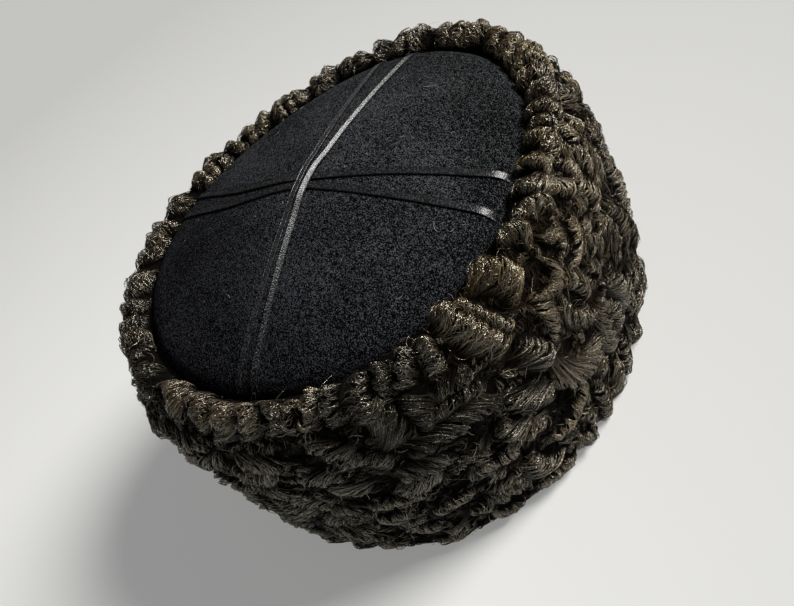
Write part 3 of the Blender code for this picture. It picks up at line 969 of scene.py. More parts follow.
    @cached_property
    def small_rows(self) -> np.ndarray:
        """Short low curls of the undergrowth, a row each.

        First come the listed fillers, then curls strewn over the beds of the main ones.

        Returns:
            The rows, in the columns of `placed`.
        """
        rng = np.random.default_rng(self.seed + 2)
        ground = self.relief_of(self.rows)
        rows = list(self.fillers)
        table = np.zeros((self.small_tries, 8))
        table[:len(rows)] = rows
        for _ in range(self.small_tries):
            turn = rng.uniform(0, 360)
            drop = rng.uniform(self.small_drops[0], self.form.end_of_drop - self.small_drops[1])
            length, width, rise = (rng.uniform(*span) for span in (
                self.small_length, self.small_width, self.small_rise))
            bow, lean, swing = rng.uniform(-1, 1, 3)
            low = float(ground.read(np.radians(turn), np.array(drop)))
            if low > self.small_ground:
                continue
            gap = self.crest_distance(turn, drop, table[:len(rows)])
            if np.all(gap > self.small_spacing * (width + table[:len(rows), 3])):
                heading = self.region_of(turn, drop)[7] + self.small_swing * swing
                rows.append((turn, drop, length, width, low + rise, heading,
                             self.small_bow * length * bow, 1 if lean > self.small_flip else -1))
                table[len(rows) - 1] = rows[-1]
        return np.array(rows)

    @staticmethod
    def halves(rows: np.ndarray) -> np.ndarray:
        """Half of each curl's chord, which is never under 0.3 of its length."""
        length, bow = rows[:, 2], rows[:, 6]
        return np.sqrt(np.maximum(0.25 * length ** 2 - bow ** 2, (0.3 * length) ** 2))

    @cached_property
    def field(self) -> "ReliefField":
        """The relief of all the curls, great and small."""
        return self.relief_of(np.concatenate([self.rows, self.small_rows]))

    def climb(self, side: np.ndarray) -> np.ndarray:
        """Share of a curl's height across it: 0 in the valley, 1 at the crest and past it."""
        share = (side + self.gentle_reach) / (self.crest_place + self.gentle_reach)
        return np.clip(share, 0, 1) ** self.climb_power

    def taper(self, along: np.ndarray) -> np.ndarray:
        """Share of a curl's height along it: 1 in its middle, 0 at both ends."""
        return np.clip(1 - np.abs(np.clip(along, -1, 1)) ** 3, 0, 1) ** self.taper_power

    def relief_of(self, rows: np.ndarray) -> "ReliefField":
        """The highest relief of the curls on a fine grid of turns and drops.

        A curl is a ridge along a bowed line: across it the height rises gently to the crest and
        falls on a quarter ellipse past it, and it falls off towards both ends.

        Args:
            rows: the curls.

        Returns:
            The field.
        """
        columns, lines = self.grid
        turns = np.linspace(0, 360, columns + 1)
        drops = np.linspace(0, self.form.end_of_drop, lines)
        relief = np.zeros((columns + 1, lines))
        turn_step = math.radians(turns[1]) * self.form.nominal_radius
        for row, half in zip(rows, self.halves(rows)):
            turn0, drop0, length, width, height, heading, bow, steep = row
            reach = int(length / turn_step) + 1
            column = int(round(turn0 / turns[1])) + np.arange(-reach, reach + 1)
            line = np.flatnonzero(np.abs(drops - drop0) < length)
            way = self.across_turn(column * turns[1], turn0)[:, None]
            down = (drops[line] - drop0)[None, :]
            cos, sin = math.cos(math.radians(heading)), math.sin(math.radians(heading))
            along = (way * cos + down * sin) / half
            slope = -2 * bow * along / half
            side = (down * cos - way * sin - bow * (2 / 3 - along ** 2)) / np.sqrt(1 + slope ** 2)
            side = steep * side / (0.5 * width)
            falling = np.clip((side - self.crest_place) / (self.steep_reach - self.crest_place), 0, 1)
            rise = np.where(side < self.crest_place, self.climb(side), np.sqrt(1 - falling ** 2))
            here = height * rise * self.taper(along)
            window = np.ix_(column % columns, line)
            relief[window] = np.maximum(relief[window], here)
        relief[-1] = relief[0]
        return ReliefField(relief, drops[-1])


@dataclass(frozen=True)
class ReliefField:
    """Relief of the fur on an even grid of turns (a whole turn) and drops."""

    relief: np.ndarray
    end_of_drop: float

    def read(self, turn: np.ndarray, drop: np.ndarray) -> np.ndarray:
        """Relief at turns in radians and drops, blended between the grid's four nearest.

        Args:
            turn: turn in radians.
            drop: drop in metres.

        Returns:
            The relief over the bed, in metres.
        """
        table = self.relief
        columns = (turn / (2 * math.pi)) % 1.0 * (table.shape[0] - 1)
        rows = np.clip(drop / self.end_of_drop, 0, 1) * (table.shape[1] - 1)
        column = np.minimum(columns.astype(int), table.shape[0] - 2)
        row = np.minimum(rows.astype(int), table.shape[1] - 2)
        east, south = columns - column, rows - row
        return ((table[column, row] * (1 - east) + table[column + 1, row] * east) * (1 - south)
                + (table[column, row + 1] * (1 - east) + table[column + 1, row + 1] * east) * south)


@dataclass
class FurPelt:
    """Ground of the fur: the band's whole closed wall, fine outside, plain inside."""

    form: HatForm
    curls: CurlMap
    columns: int = 400
    rows: int = 80
    sink: float = 0.0004
    finish: PeltFinish = PeltFinish()

    def build(self) -> bpy.types.Object:
        """Makes the pelt.

        The outer side is the form's path moved outward by the relief of the curls, a little sunk so
        that the locks lie on it. The path goes on under the hem and up the inside, and closes.

        Returns:
            The piece, which stands for the fur band.
        """
        turn = np.linspace(0, 2 * math.pi, self.columns, endpoint=False)
        drop = np.linspace(0, self.form.end_of_drop, self.rows)
        turns, drops = np.meshgrid(turn, drop)
        relief = self.curls.field.read(turns, drops)
        outside = self.form.on_fur(turns, drops, relief - self.sink)
        stations = np.array(self.form.inner_stations)
        inner = np.stack([self.form.place(turn, radius, height) for radius, height in stations])
        points = np.concatenate([outside, inner])
        faces = grid_faces(len(points), self.columns, closed=True)
        last = (len(points) - 1) * self.columns
        column = np.arange(self.columns)
        after = (column + 1) % self.columns
        closing = np.stack([last + column, last + after, after, column], axis=-1)
        inside = np.concatenate([np.zeros(outside.shape[:2]), np.ones(inner.shape[:2])])
        piece = mesh_object("fur_pelt", points.reshape(-1, 3),
                            np.concatenate([faces, closing])[:, ::-1], {"inside": inside})
        piece.data.materials.append(self.finish.make())
        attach(piece, "root")
        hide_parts("fur_band")
        return piece


class Growth(Enum):
    """The two growths of hair."""

    MAIN = "main curls"
    UNDER = "undergrowth"


@dataclass
class Strands:
    """Strands as arrays: for each one its stations, the way across it and its numbers."""

    points: np.ndarray
    across: np.ndarray
    outward: np.ndarray
    tone: np.ndarray
    width: np.ndarray
    depth: np.ndarray

    def only(self, chosen: np.ndarray) -> "Strands":
        """The strands at the chosen numbers."""
        return Strands(self.points[chosen], self.across[chosen], self.outward[chosen],
                       self.tone[chosen], self.width[chosen], self.depth[chosen])

    def join(self, name: str, rng: np.random.Generator, roll: float = 36.0,
             round_angle: float = 40.0) -> bpy.types.Object:
        """Joins the strands as flat strips.

        Each station gives two points, half a width either side of the strand's line along its
        own across direction, turned about the line by a random roll that drifts along it. The
        width swells from the root and runs out to a fine tip. The two edges face apart, so that
        the strip takes the light as a round hair does.

        Args:
            name: the piece's name.
            rng: source of the random rolls.
            roll: spread of the rolls in degrees.
            round_angle: degrees between the way an edge faces and the way the strip faces.

        Returns:
            The piece.
        """
        points = self.points
        number, stations = points.shape[:2]
        line = unit(np.gradient(points, axis=1))
        across = unit(self.across - (self.across * line).sum(-1, keepdims=True) * line)
        facing = np.cross(line, across)
        sign = np.sign((facing * self.outward)[:, :stations // 2].sum(axis=(1, 2)))
        facing = facing * np.where(sign == 0, 1, sign)[:, None, None]
        share = np.linspace(0, 1, stations)
        turned = np.radians(roll) * (rng.normal(0, 1, (number, 1))
                                     + ROLL_DRIFT * rng.normal(0, 1, (number, 1)) * (share - 0.5))
        cos, sin = np.cos(turned)[..., None], np.sin(turned)[..., None]
        across, facing = across * cos + facing * sin, facing * cos - across * sin
        swell = np.interp(share, STRAND_SHARES, STRAND_WIDTHS)
        reach = 0.5 * self.width[:, None, None] * swell[:, None] * across
        pair = np.stack([points - reach, points + reach], axis=2)
        pair[..., 2] = np.maximum(pair[..., 2], LEAST_HEIGHT)
        left = 2 * ((np.arange(number) * stations)[:, None] + np.arange(stations - 1))
        faces = np.stack([left, left + 1, left + 3, left + 2], axis=-1)
        away = np.einsum("ij,ij->i", np.cross(across[:, 0], line[:, 0]), facing[:, 0]) < 0
        faces[away] = faces[away][..., ::-1]
        bend = math.radians(round_angle)
        normals = np.stack([facing * math.cos(bend) - across * math.sin(bend),
                            facing * math.cos(bend) + across * math.sin(bend)], axis=2)
        tone = np.broadcast_to(self.tone[:, None, None], (number, stations, 2))
        tip = np.broadcast_to(share[None, :, None], (number, stations, 2))
        depth = np.broadcast_to(self.depth[:, :, None], (number, stations, 2))
        return mesh_object(name, pair.reshape(-1, 3), faces.reshape(-1, 4),
                           {"tone": tone, "tip": tip, "depth": depth}, normals.reshape(-1, 3))


@dataclass(frozen=True)
class GrowthPlan:
    """How many strands a growth has, and how they are made.

    Attributes:
        count: the most strands it may have.
        trial: strands tried for each one of those.
        segments: quads of a strand.
        clump_pitch: way along a curl from clump to clump.
        clump_rise: height of a clump's round back.
        sweep: how far roots are swept along their curls.
    """

    count: int
    trial: float
    segments: int
    clump_pitch: float
    clump_rise: float
    sweep: float


@dataclass(frozen=True)
class Spread:
    """A number that differs by curl, by clump and by strand.

    Attributes:
        middle: its middle.
        curl: its standard deviation between curls.
        clump: its whole range between clumps.
        own: its standard deviation between the strands of a clump.
    """

    middle: float
    curl: float
    clump: float
    own: float

    def draw(self, trait: Any, mark: np.ndarray, rng: np.random.Generator) -> np.ndarray:
        """The number of each strand, from a trait of its curl and a mark of its clump."""
        return (self.middle + self.curl * trait + self.clump * (mark - 0.5)
                + rng.normal(0, self.own, len(mark)))


@dataclass
class FurLocks:
    """The hair itself: flat tapered strands that climb each curl and roll over its crest.

    Attributes:
        form, curls: the hat's shape and its curls.
        plans: the plan of each growth.
        patches: places whose strands are lighter or darker.
        piece_faces: about the most quads that a piece may have.
        seed: seed of the random numbers.
        strand_width, width_span: width of a strand, and the span of its factor.
        layer_rise, layer_root: highest layer of a strand, and the share that its root has.
        layer_run: part of a half wave in which the layer swells and sinks along a strand.
        wave, waves: height and number of the waves that a clump shares, the number's range last.
        stray, strays: the same for the waves of a strand by itself.
        hook, hook_least, hook_power: bend of a tip along its curl, its least share and its power.
        short_share, short_span: share of strands that stop short, and the part they keep.
        rim_drop: drop above which a curl belongs to the rim.
        rim_sweep: share of the sweep that is left there.
        rim_frizz, wall_frizz: factors of the waves on the rim and on the wall.
        lean, lean_change, lean_span: slant along the curls of the wall, its change and its limits.
        least_full: least height of a curl whose crest takes the full gloss; lower curls keep part of the
            painted shade of the recesses.
        rock_pitch, rock_side, rock_rise: length of a curl's ripple, and how far it moves strands.
        swell: height of the strands over the solid's curls, as a factor.
        rim_fade: drop over which the strands rise from the cloth.
        width_extra: added to a curl's width where the strands are shared out.
        start_reach: how far along a curl strands start, in half chords.
        pitch_change: change of the clumps' pitch from curl to curl.
        mark_seeds, other_seeds: numbers that the two marks of a clump are made from.
        root_reach, root_power: span and power of the places where strands leave the valley.
        tip, tip_span: how far past the crest strands end, and the limits.
        sweep_curl, sweep_span, sweep_own, sweep_clump: changes of the sweep, and its limits.
        slant: slant of the strands.
        pull: how far a strand is drawn to its clump's middle, at its root and added at its tip.
        along_limit: how far along a curl a strand may reach, in half chords.
        clump_change: change of a clump's height.
        curl_in: how much the tips draw in past the crest.
        seen_sink, seen_share: how deep a strand counts as seen, and the part that has to be.
        tone: tone of the strands.
        across_step: way along a curl that gives the way across a strand, in half chords.
        end_gap: least way of a strand from the cloth and from the hem.
        finish: the hair's finish.
    """

    form: HatForm
    curls: CurlMap
    plans: tuple[tuple[Growth, GrowthPlan], ...] = (
        (Growth.MAIN, GrowthPlan(count=39000, trial=2.3, segments=7, clump_pitch=0.0013,
                                 clump_rise=0.00040, sweep=1.25)),
        (Growth.UNDER, GrowthPlan(count=29000, trial=1.9, segments=5, clump_pitch=0.0010,
                                  clump_rise=0.00026, sweep=1.25)))
    # turn, drop, reach, shift of the tone
    patches: Table = (
        (47.0, 0.037, 0.027, 0.44), (70.0, 0.014, 0.022, -0.16), (8.0, 0.095, 0.032, 0.12),
        (97.0, 0.004, 0.036, 0.60), (179.0, 0.005, 0.036, 0.40), (305.0, 0.030, 0.018, 0.12),
        (291.0, 0.013, 0.020, 0.10), (314.0, 0.012, 0.016, 0.04), (0.0, 0.026, 0.022, 0.28),
        (20.0, 0.030, 0.022, 0.18), (38.0, 0.070, 0.030, 0.10), (350.0, 0.050, 0.024, -0.46),
        (336.0, 0.037, 0.026, -0.70), (260.0, 0.009, 0.026, -0.46))
    piece_faces: int = 95000
    seed: int = 733
    strand_width: float = 0.00031
    width_span: Span = (0.7, 1.3)
    layer_rise: float = 0.00034
    layer_root: float = 0.35
    layer_run: float = 1.15
    wave: float = 0.00042
    waves: tuple[float, float] = (0.8, 1.0)
    stray: float = 0.00042
    strays: tuple[float, float] = (0.7, 1.5)
    hook: float = 0.0013
    hook_least: float = 0.4
    hook_power: float = 2.4
    short_share: float = 0.28
    short_span: Span = (0.45, 0.9)
    rim_drop: float = 0.024
    rim_sweep: float = 0.42
    rim_frizz: float = 1.7
    wall_frizz: float = 1.3
    lean: float = 0.42
    lean_change: float = 0.5
    lean_span: Span = (0.0, 1.5)
    least_full: float = 0.0034
    rock_pitch: float = 0.0068
    rock_side: float = 0.0007
    rock_rise: float = 0.13
    swell: float = 1.16
    rim_fade: float = 0.0022
    width_extra: float = 0.004
    start_reach: float = 1.04
    pitch_change: float = 0.3
    mark_seeds: Triple = (12.9898, 78.233, 43758.5453)
    other_seeds: Triple = (39.346, 11.135, 24634.6345)
    root_reach: float = 1.45
    root_power: float = 1.4
    tip: Spread = Spread(0.85, 0.0, 0.5, 0.22)
    tip_span: Span = (0.15, 1.45)
    sweep_curl: float = 0.35
    sweep_span: Span = (0.2, 1.7)
    sweep_own: float = 0.16
    sweep_clump: float = 0.34
    slant: Spread = Spread(0.0, 0.12, 0.22, 0.12)
    pull: tuple[float, float] = (0.04, 0.32)
    along_limit: float = 2.2
    clump_change: float = 0.24
    curl_in: float = 0.16
    seen_sink: float = 0.0003
    seen_share: float = 0.36
    tone: Spread = Spread(0.42, 0.12, 0.36, 0.20)
    across_step: float = 0.02
    end_gap: float = 0.0004
    finish: HairFinish = HairFinish()

    @staticmethod
    def mark(clump: np.ndarray, owner: np.ndarray, seeds: Triple) -> np.ndarray:
        """A number in 0..1 that all strands of a clump share and that looks like chance."""
        return np.abs(np.sin(clump * seeds[0] + owner * seeds[1]) * seeds[2]) % 1.0

    def grow(self, rows: np.ndarray, plan: GrowthPlan, rng: np.random.Generator) -> Strands:
        """Strands of a growth.

        A strand leaves the valley on a curl's gentle side, climbs to the crest across it, and
        goes round the crest on a quarter ellipse, which is where the solid's steep side lies.
        Some stop short. Its root is swept along the curl by the square of its distance from the
        crest, so that it starts beside the crest and turns towards it, and on the wall it leans
        along the curl. It is drawn towards the middle of its clump, hooks at its tip, waves with
        its clump and by itself, and stands over the curl by its layer and by its clump's round
        back.

        Args:
            rows: the curls.
            plan: the growth's plan.
            rng: source of the random numbers.

        Returns:
            The strands that show, at most as many as the plan says.
        """
        curls = self.curls
        number = int(plan.count * plan.trial)
        area = rows[:, 2] * (rows[:, 3] + self.width_extra)
        owner = rng.choice(len(rows), number, p=area / area.sum())
        width, height = rows[owner, 3], rows[owner, 4]
        half = curls.halves(rows)[owner]
        traits = rng.normal(0, 1, (len(rows), 6))[owner]
        shift, sweeping, slanting, toning, leaning, pitching = traits.T
        sweep_side = np.where(rng.random(len(rows)) < 0.5, -1.0, 1.0)[owner]
        start = rng.uniform(-self.start_reach, self.start_reach, number)
        gentle, crest = curls.gentle_reach, curls.crest_place

        pitch = plan.clump_pitch * (1 + self.pitch_change * np.tanh(pitching))
        clump = np.floor(start * half / pitch + shift)
        middle = (clump + 0.5 - shift) * pitch / half
        off_middle = np.clip((start - middle) * half / (0.5 * pitch), -1, 1)
        mark = self.mark(clump, owner, self.mark_seeds)
        other = self.mark(clump, owner, self.other_seeds)

        first = -gentle + self.root_reach * rng.random(number) ** self.root_power
        last = crest + np.clip(self.tip.draw(0.0, mark, rng), *self.tip_span)
        short = rng.random(number) < self.short_share
        last = np.where(short, first + (last - first) * rng.uniform(*self.short_span, number), last)
        share = np.linspace(0, 1, plan.segments + 1)
        way = first[:, None] + (last - first)[:, None] * share
        reach = (crest + gentle) * 0.5 * width[:, None]
        run = (way - crest) * 0.5 * width[:, None]
        back = np.clip(-run / reach, 0, 1)
        on_rim = rows[owner, 1] < self.rim_drop
        calm = np.where(on_rim, self.rim_sweep, 1.0)
        wildness = np.where(on_rim, self.rim_frizz, self.wall_frizz)[:, None]
        swept = np.clip(1 + self.sweep_curl * sweeping, *self.sweep_span)
        sweep = sweep_side * plan.sweep * calm * swept
        sweep = sweep * (1 + rng.normal(0, self.sweep_own, number)) + self.sweep_clump * (mark - 0.5)
        slant = self.slant.draw(slanting, other, rng)
        lean = self.lean * np.clip(1 + self.lean_change * leaning, *self.lean_span) * sweep_side
        slant = slant - np.where(on_rim, 0.0, lean)
        pull = self.pull[0] + self.pull[1] * share
        along = start[:, None] + (middle - start)[:, None] * pull
        lateral = sweep[:, None] * reach * back ** 2 + slant[:, None] * run
        waves = self.waves[0] + self.waves[1] * mark[:, None]
        ripple = np.sin(2 * math.pi * (share * waves + other[:, None]))
        own = rng.random((number, 2))
        strays = self.strays[0] + self.strays[1] * own[:, :1]
        stray = np.sin(2 * math.pi * (share * strays + own[:, 1:]))
        stray = stray * rng.normal(0, self.stray, (number, 1))
        rock = np.sin(2 * math.pi * (along * half[:, None] / self.rock_pitch + shift[:, None]))
        hook = self.hook * (self.hook_least + other) * np.where(mark < 0.5, -1.0, 1.0)
        bent = hook[:, None] * share ** self.hook_power
        frizz = (self.wave * ripple + stray) * wildness
        along = along + (lateral + frizz + bent) / half[:, None]
        along = np.clip(along, -self.along_limit, self.along_limit)

        angle = np.clip(way - crest, 0, None) * math.pi / 2
        grow = (1 + self.clump_change * (mark - 0.5))[:, None] + self.rock_rise * rock
        lift = self.layer_rise * rng.random(number) + plan.clump_rise * (1 - off_middle ** 2)
        bulge = np.sin(math.pi * np.clip(share * self.layer_run, 0, 1))
        lift = lift[:, None] * (self.layer_root + (1 - self.layer_root) * bulge)
        curl_in = 1 - self.curl_in * np.clip(angle / (math.pi / 2), 0, 2)
        over = (curls.steep_reach - crest) * np.sin(angle) * curl_in
        side = np.where(way < crest, way, crest + over)
        relief = np.where(way < crest, curls.climb(way), np.cos(angle) * curl_in)
        relief = self.swell * height[:, None] * curls.taper(along) * grow * relief
        relief = relief + lift * np.cos(angle)
        side = side + lift * np.sin(angle) / (0.5 * width[:, None])
        side = side + self.rock_side * rock * share / (0.5 * width[:, None])

        seen = relief > curls.field.read(*self.plan_of(rows, owner, along, side)) - self.seen_sink
        keep = np.flatnonzero(seen.mean(axis=1) > self.seen_share)
        keep = rng.permutation(keep)[:plan.count]
        tone = self.tone.draw(toning, other, rng) + self.patch_tone(rows)[owner]
        size = self.strand_width * rng.uniform(*self.width_span, number)
        owner, along, side, relief = owner[keep], along[keep], side[keep], relief[keep]
        points = self.carry(rows, owner, along, side, relief)
        beside = self.carry(rows, owner, along + self.across_step, side, relief)
        ground = self.carry(rows, owner, along, side, relief - OUTWARD_STEP)
        # depth drives the painted shade of the recesses in the hair's finish
        depth = relief / np.maximum(height[keep], self.least_full)[:, None]
        return Strands(points, beside - points, points - ground, tone[keep], size[keep],
                       np.clip(depth, 0, 1))

    def patch_tone(self, rows: np.ndarray) -> np.ndarray:
        """Sum over the patches of shift * exp(-(distance / reach)^2), for each curl.

        Args:
            rows: the curls.

        Returns:
            A shift of the tone for each curl.
        """
        turn, drop, reach, shift = np.array(self.patches).T
        way = self.curls.across_turn(rows[:, :1], turn)
        return (shift * np.exp(-(way ** 2 + (rows[:, 1:2] - drop) ** 2) / reach ** 2)).sum(axis=1)

    def plan_of(self, rows: np.ndarray, owner: np.ndarray, along: np.ndarray, side: np.ndarray
                ) -> tuple[np.ndarray, np.ndarray]:
        """Turn in radians and drop of places given along and across their curls.

        Args:
            rows: the curls.
            owner: number of each strand's curl.
            along: place along the curl, in half chords.
            side: place across the curl, in half widths from its line.

        Returns:
            The turns and the drops.
        """
        turn0, drop0, _, width, _, heading, bow, steep = rows[owner].T[:, :, None]
        half = self.curls.halves(rows)[owner][:, None]
        slope = -2 * bow * along / half
        raw = bow * (2 / 3 - along ** 2) + steep * side * 0.5 * width * np.sqrt(1 + slope ** 2)
        cos, sin = np.cos(np.radians(heading)), np.sin(np.radians(heading))
        way = along * half * cos - raw * sin
        down = along * half * sin + raw * cos
        return np.radians(turn0) + way / self.form.nominal_radius, drop0 + down

    def carry(self, rows: np.ndarray, owner: np.ndarray, along: np.ndarray, side: np.ndarray,
              relief: np.ndarray) -> np.ndarray:
        """Points of the hat at places given along and across their curls and over the bed.

        Args:
            rows: the curls.
            owner: number of each strand's curl.
            along, side: places as in `plan_of`.
            relief: height over the bed.

        Returns:
            The points.
        """
        turn, drop = self.plan_of(rows, owner, along, side)
        drop = np.clip(drop, self.end_gap, self.form.end_of_drop - self.end_gap)
        return self.form.on_fur(turn, drop, relief, quick=self.rim_fade)

    def build(self) -> list[bpy.types.Object]:
        """Makes the strands and joins them into pieces of under 200,000 triangles.

        Returns:
            The pieces.
        """
        rng = np.random.default_rng(self.seed)
        material = self.finish.make()
        made = []
        for growth, plan in self.plans:
            rows = self.curls.rows if growth is Growth.MAIN else self.curls.small_rows
            strands = self.grow(rows, plan, rng)
            number = len(strands.points)
            parts = math.ceil(number * plan.segments / self.piece_faces)
            LOG.info("%s: %d curls, %d strands", growth.value, len(rows), number)
            for part in np.array_split(np.arange(number), parts):
                piece = strands.only(part).join(f"fur_locks_{len(made) + 1}", rng)
                piece.data.materials.append(material)
                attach(piece, "root")
                made.append(piece)
        return made


@dataclass
class CrownCloth:
    """Wool cloth of the crown: a shallow tented dome with a rolled edge.

    Attributes:
        form: the hat's shape.
        edge, edge_height: long half axis and height at which the dome would end.
        rise: height of the peak over that.
        dome_share, tent_round: share of the paraboloid, and how round the cone's top is.
        dome_end: long half axis at which the dome passes into the roll.
        roll: long half axes and heights of the rolled edge.
        thick: thickness of the cloth.
        columns, rows, roll_rows: columns of the mesh, and its rows on the dome and on the roll.
        finish: the cloth's finish.
    """

    form: HatForm
    edge: float = 0.0902
    edge_height: float = 0.1136
    rise: float = 0.0174
    dome_share: float = 0.45
    tent_round: float = 0.15
    dome_end: float = 0.0815
    roll: Table = ((0.0857, 0.1141), (0.0886, 0.1110), (0.0903, 0.1062))
    thick: float = 0.0015
    columns: int = 168
    rows: int = 46
    roll_rows: int = 9
    finish: WoolFinish = WoolFinish()

    def dome_height(self, radius: np.ndarray) -> np.ndarray:
        """Height of the outer side: a paraboloid and a round-topped cone, mixed.

        Args:
            radius: long half axis.

        Returns:
            The height there.
        """
        share = radius / self.edge
        peak = np.sqrt(1 + self.tent_round ** 2) - self.tent_round
        tent = 1 - (np.sqrt(share ** 2 + self.tent_round ** 2) - self.tent_round) / peak
        mixed = self.dome_share * (1 - share ** 2) + (1 - self.dome_share) * tent
        return self.edge_height + self.rise * mixed

    def height_at(self, plan: np.ndarray) -> np.ndarray:
        """Height of the outer side over points of the plan.

        Args:
            plan: points as X and Y, on the last axis.

        Returns:
            The height over each.
        """
        x, y = plan[..., 0] + self.form.middle[0], plan[..., 1] + self.form.middle[1]
        radius = np.hypot(x, y) / self.form.section(np.arctan2(y, x))
        inner = self.dome_height(np.minimum(radius, self.dome_end))
        stations = np.array([(self.dome_end, float(self.dome_height(self.dome_end))), *self.roll])
        return np.where(radius < self.dome_end, inner,
                        np.interp(radius, stations[:, 0], stations[:, 1]))

    def build(self) -> bpy.types.Object:
        """Makes the cloth as its outer side, a grid of rings, thickened inward by Solidify.

        Returns:
            The piece, which stands for the crown cloth.
        """
        turn = np.linspace(0, 2 * math.pi, self.columns, endpoint=False)
        radius = np.linspace(0, self.dome_end, self.rows)[1:]
        height = self.dome_height(radius)
        rolled = np.array([(radius[-1], height[-1]), *self.roll])
        step = np.linspace(0, len(self.roll), self.roll_rows + 1)[1:]
        radius = np.r_[radius, np.interp(step, np.arange(len(rolled)), rolled[:, 0])]
        height = np.r_[height, np.interp(step, np.arange(len(rolled)), rolled[:, 1])]
        rings = self.form.place(turn[None, :], radius[:, None], height[:, None])
        peak = self.form.place(np.zeros(1), np.zeros(1), self.dome_height(np.zeros(1)))
        points = np.concatenate([rings.reshape(-1, 3), peak])
        faces = grid_faces(len(radius), self.columns, closed=True)
        fan = fan_faces(np.arange(self.columns), len(points) - 1, turned=True)
        piece = mesh_object("crown_wool", points, np.concatenate([faces[:, ::-1], fan]))
        wall = piece.modifiers.new("Thickness", "SOLIDIFY")
        wall.thickness = self.thick
        wall.offset = -1
        piece.data.materials.append(self.finish.make())
        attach(piece, "root")
        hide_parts("crown_cloth")
        return piece


class Pair(Enum):
    """Which pair of ribbons lies on top where the pairs cross."""

    OVER = "over"
    UNDER = "under"


@dataclass(frozen=True)
class RibbonPlan:
    """One ribbon.

    Attributes:
        node: the solid it stands for.
        first_turn: turn of its first end, in degrees.
        last_turn: turn of its other end, in degrees.
        side: side of the cross's middle on which it runs.
        pair: the pair it belongs to.
        ribbed: height of its ribs as a share of the full height.
        width: its width.
        roll: degrees by which its inner edge is raised.
        sway: how far the middles of its two halves lie aside.
    """

    node: str
    first_turn: float
    last_turn: float
    side: int
    pair: Pair
    ribbed: float
    width: float
    roll: float = 0.0
    sway: tuple[float, float] = (0.0, 0.0)


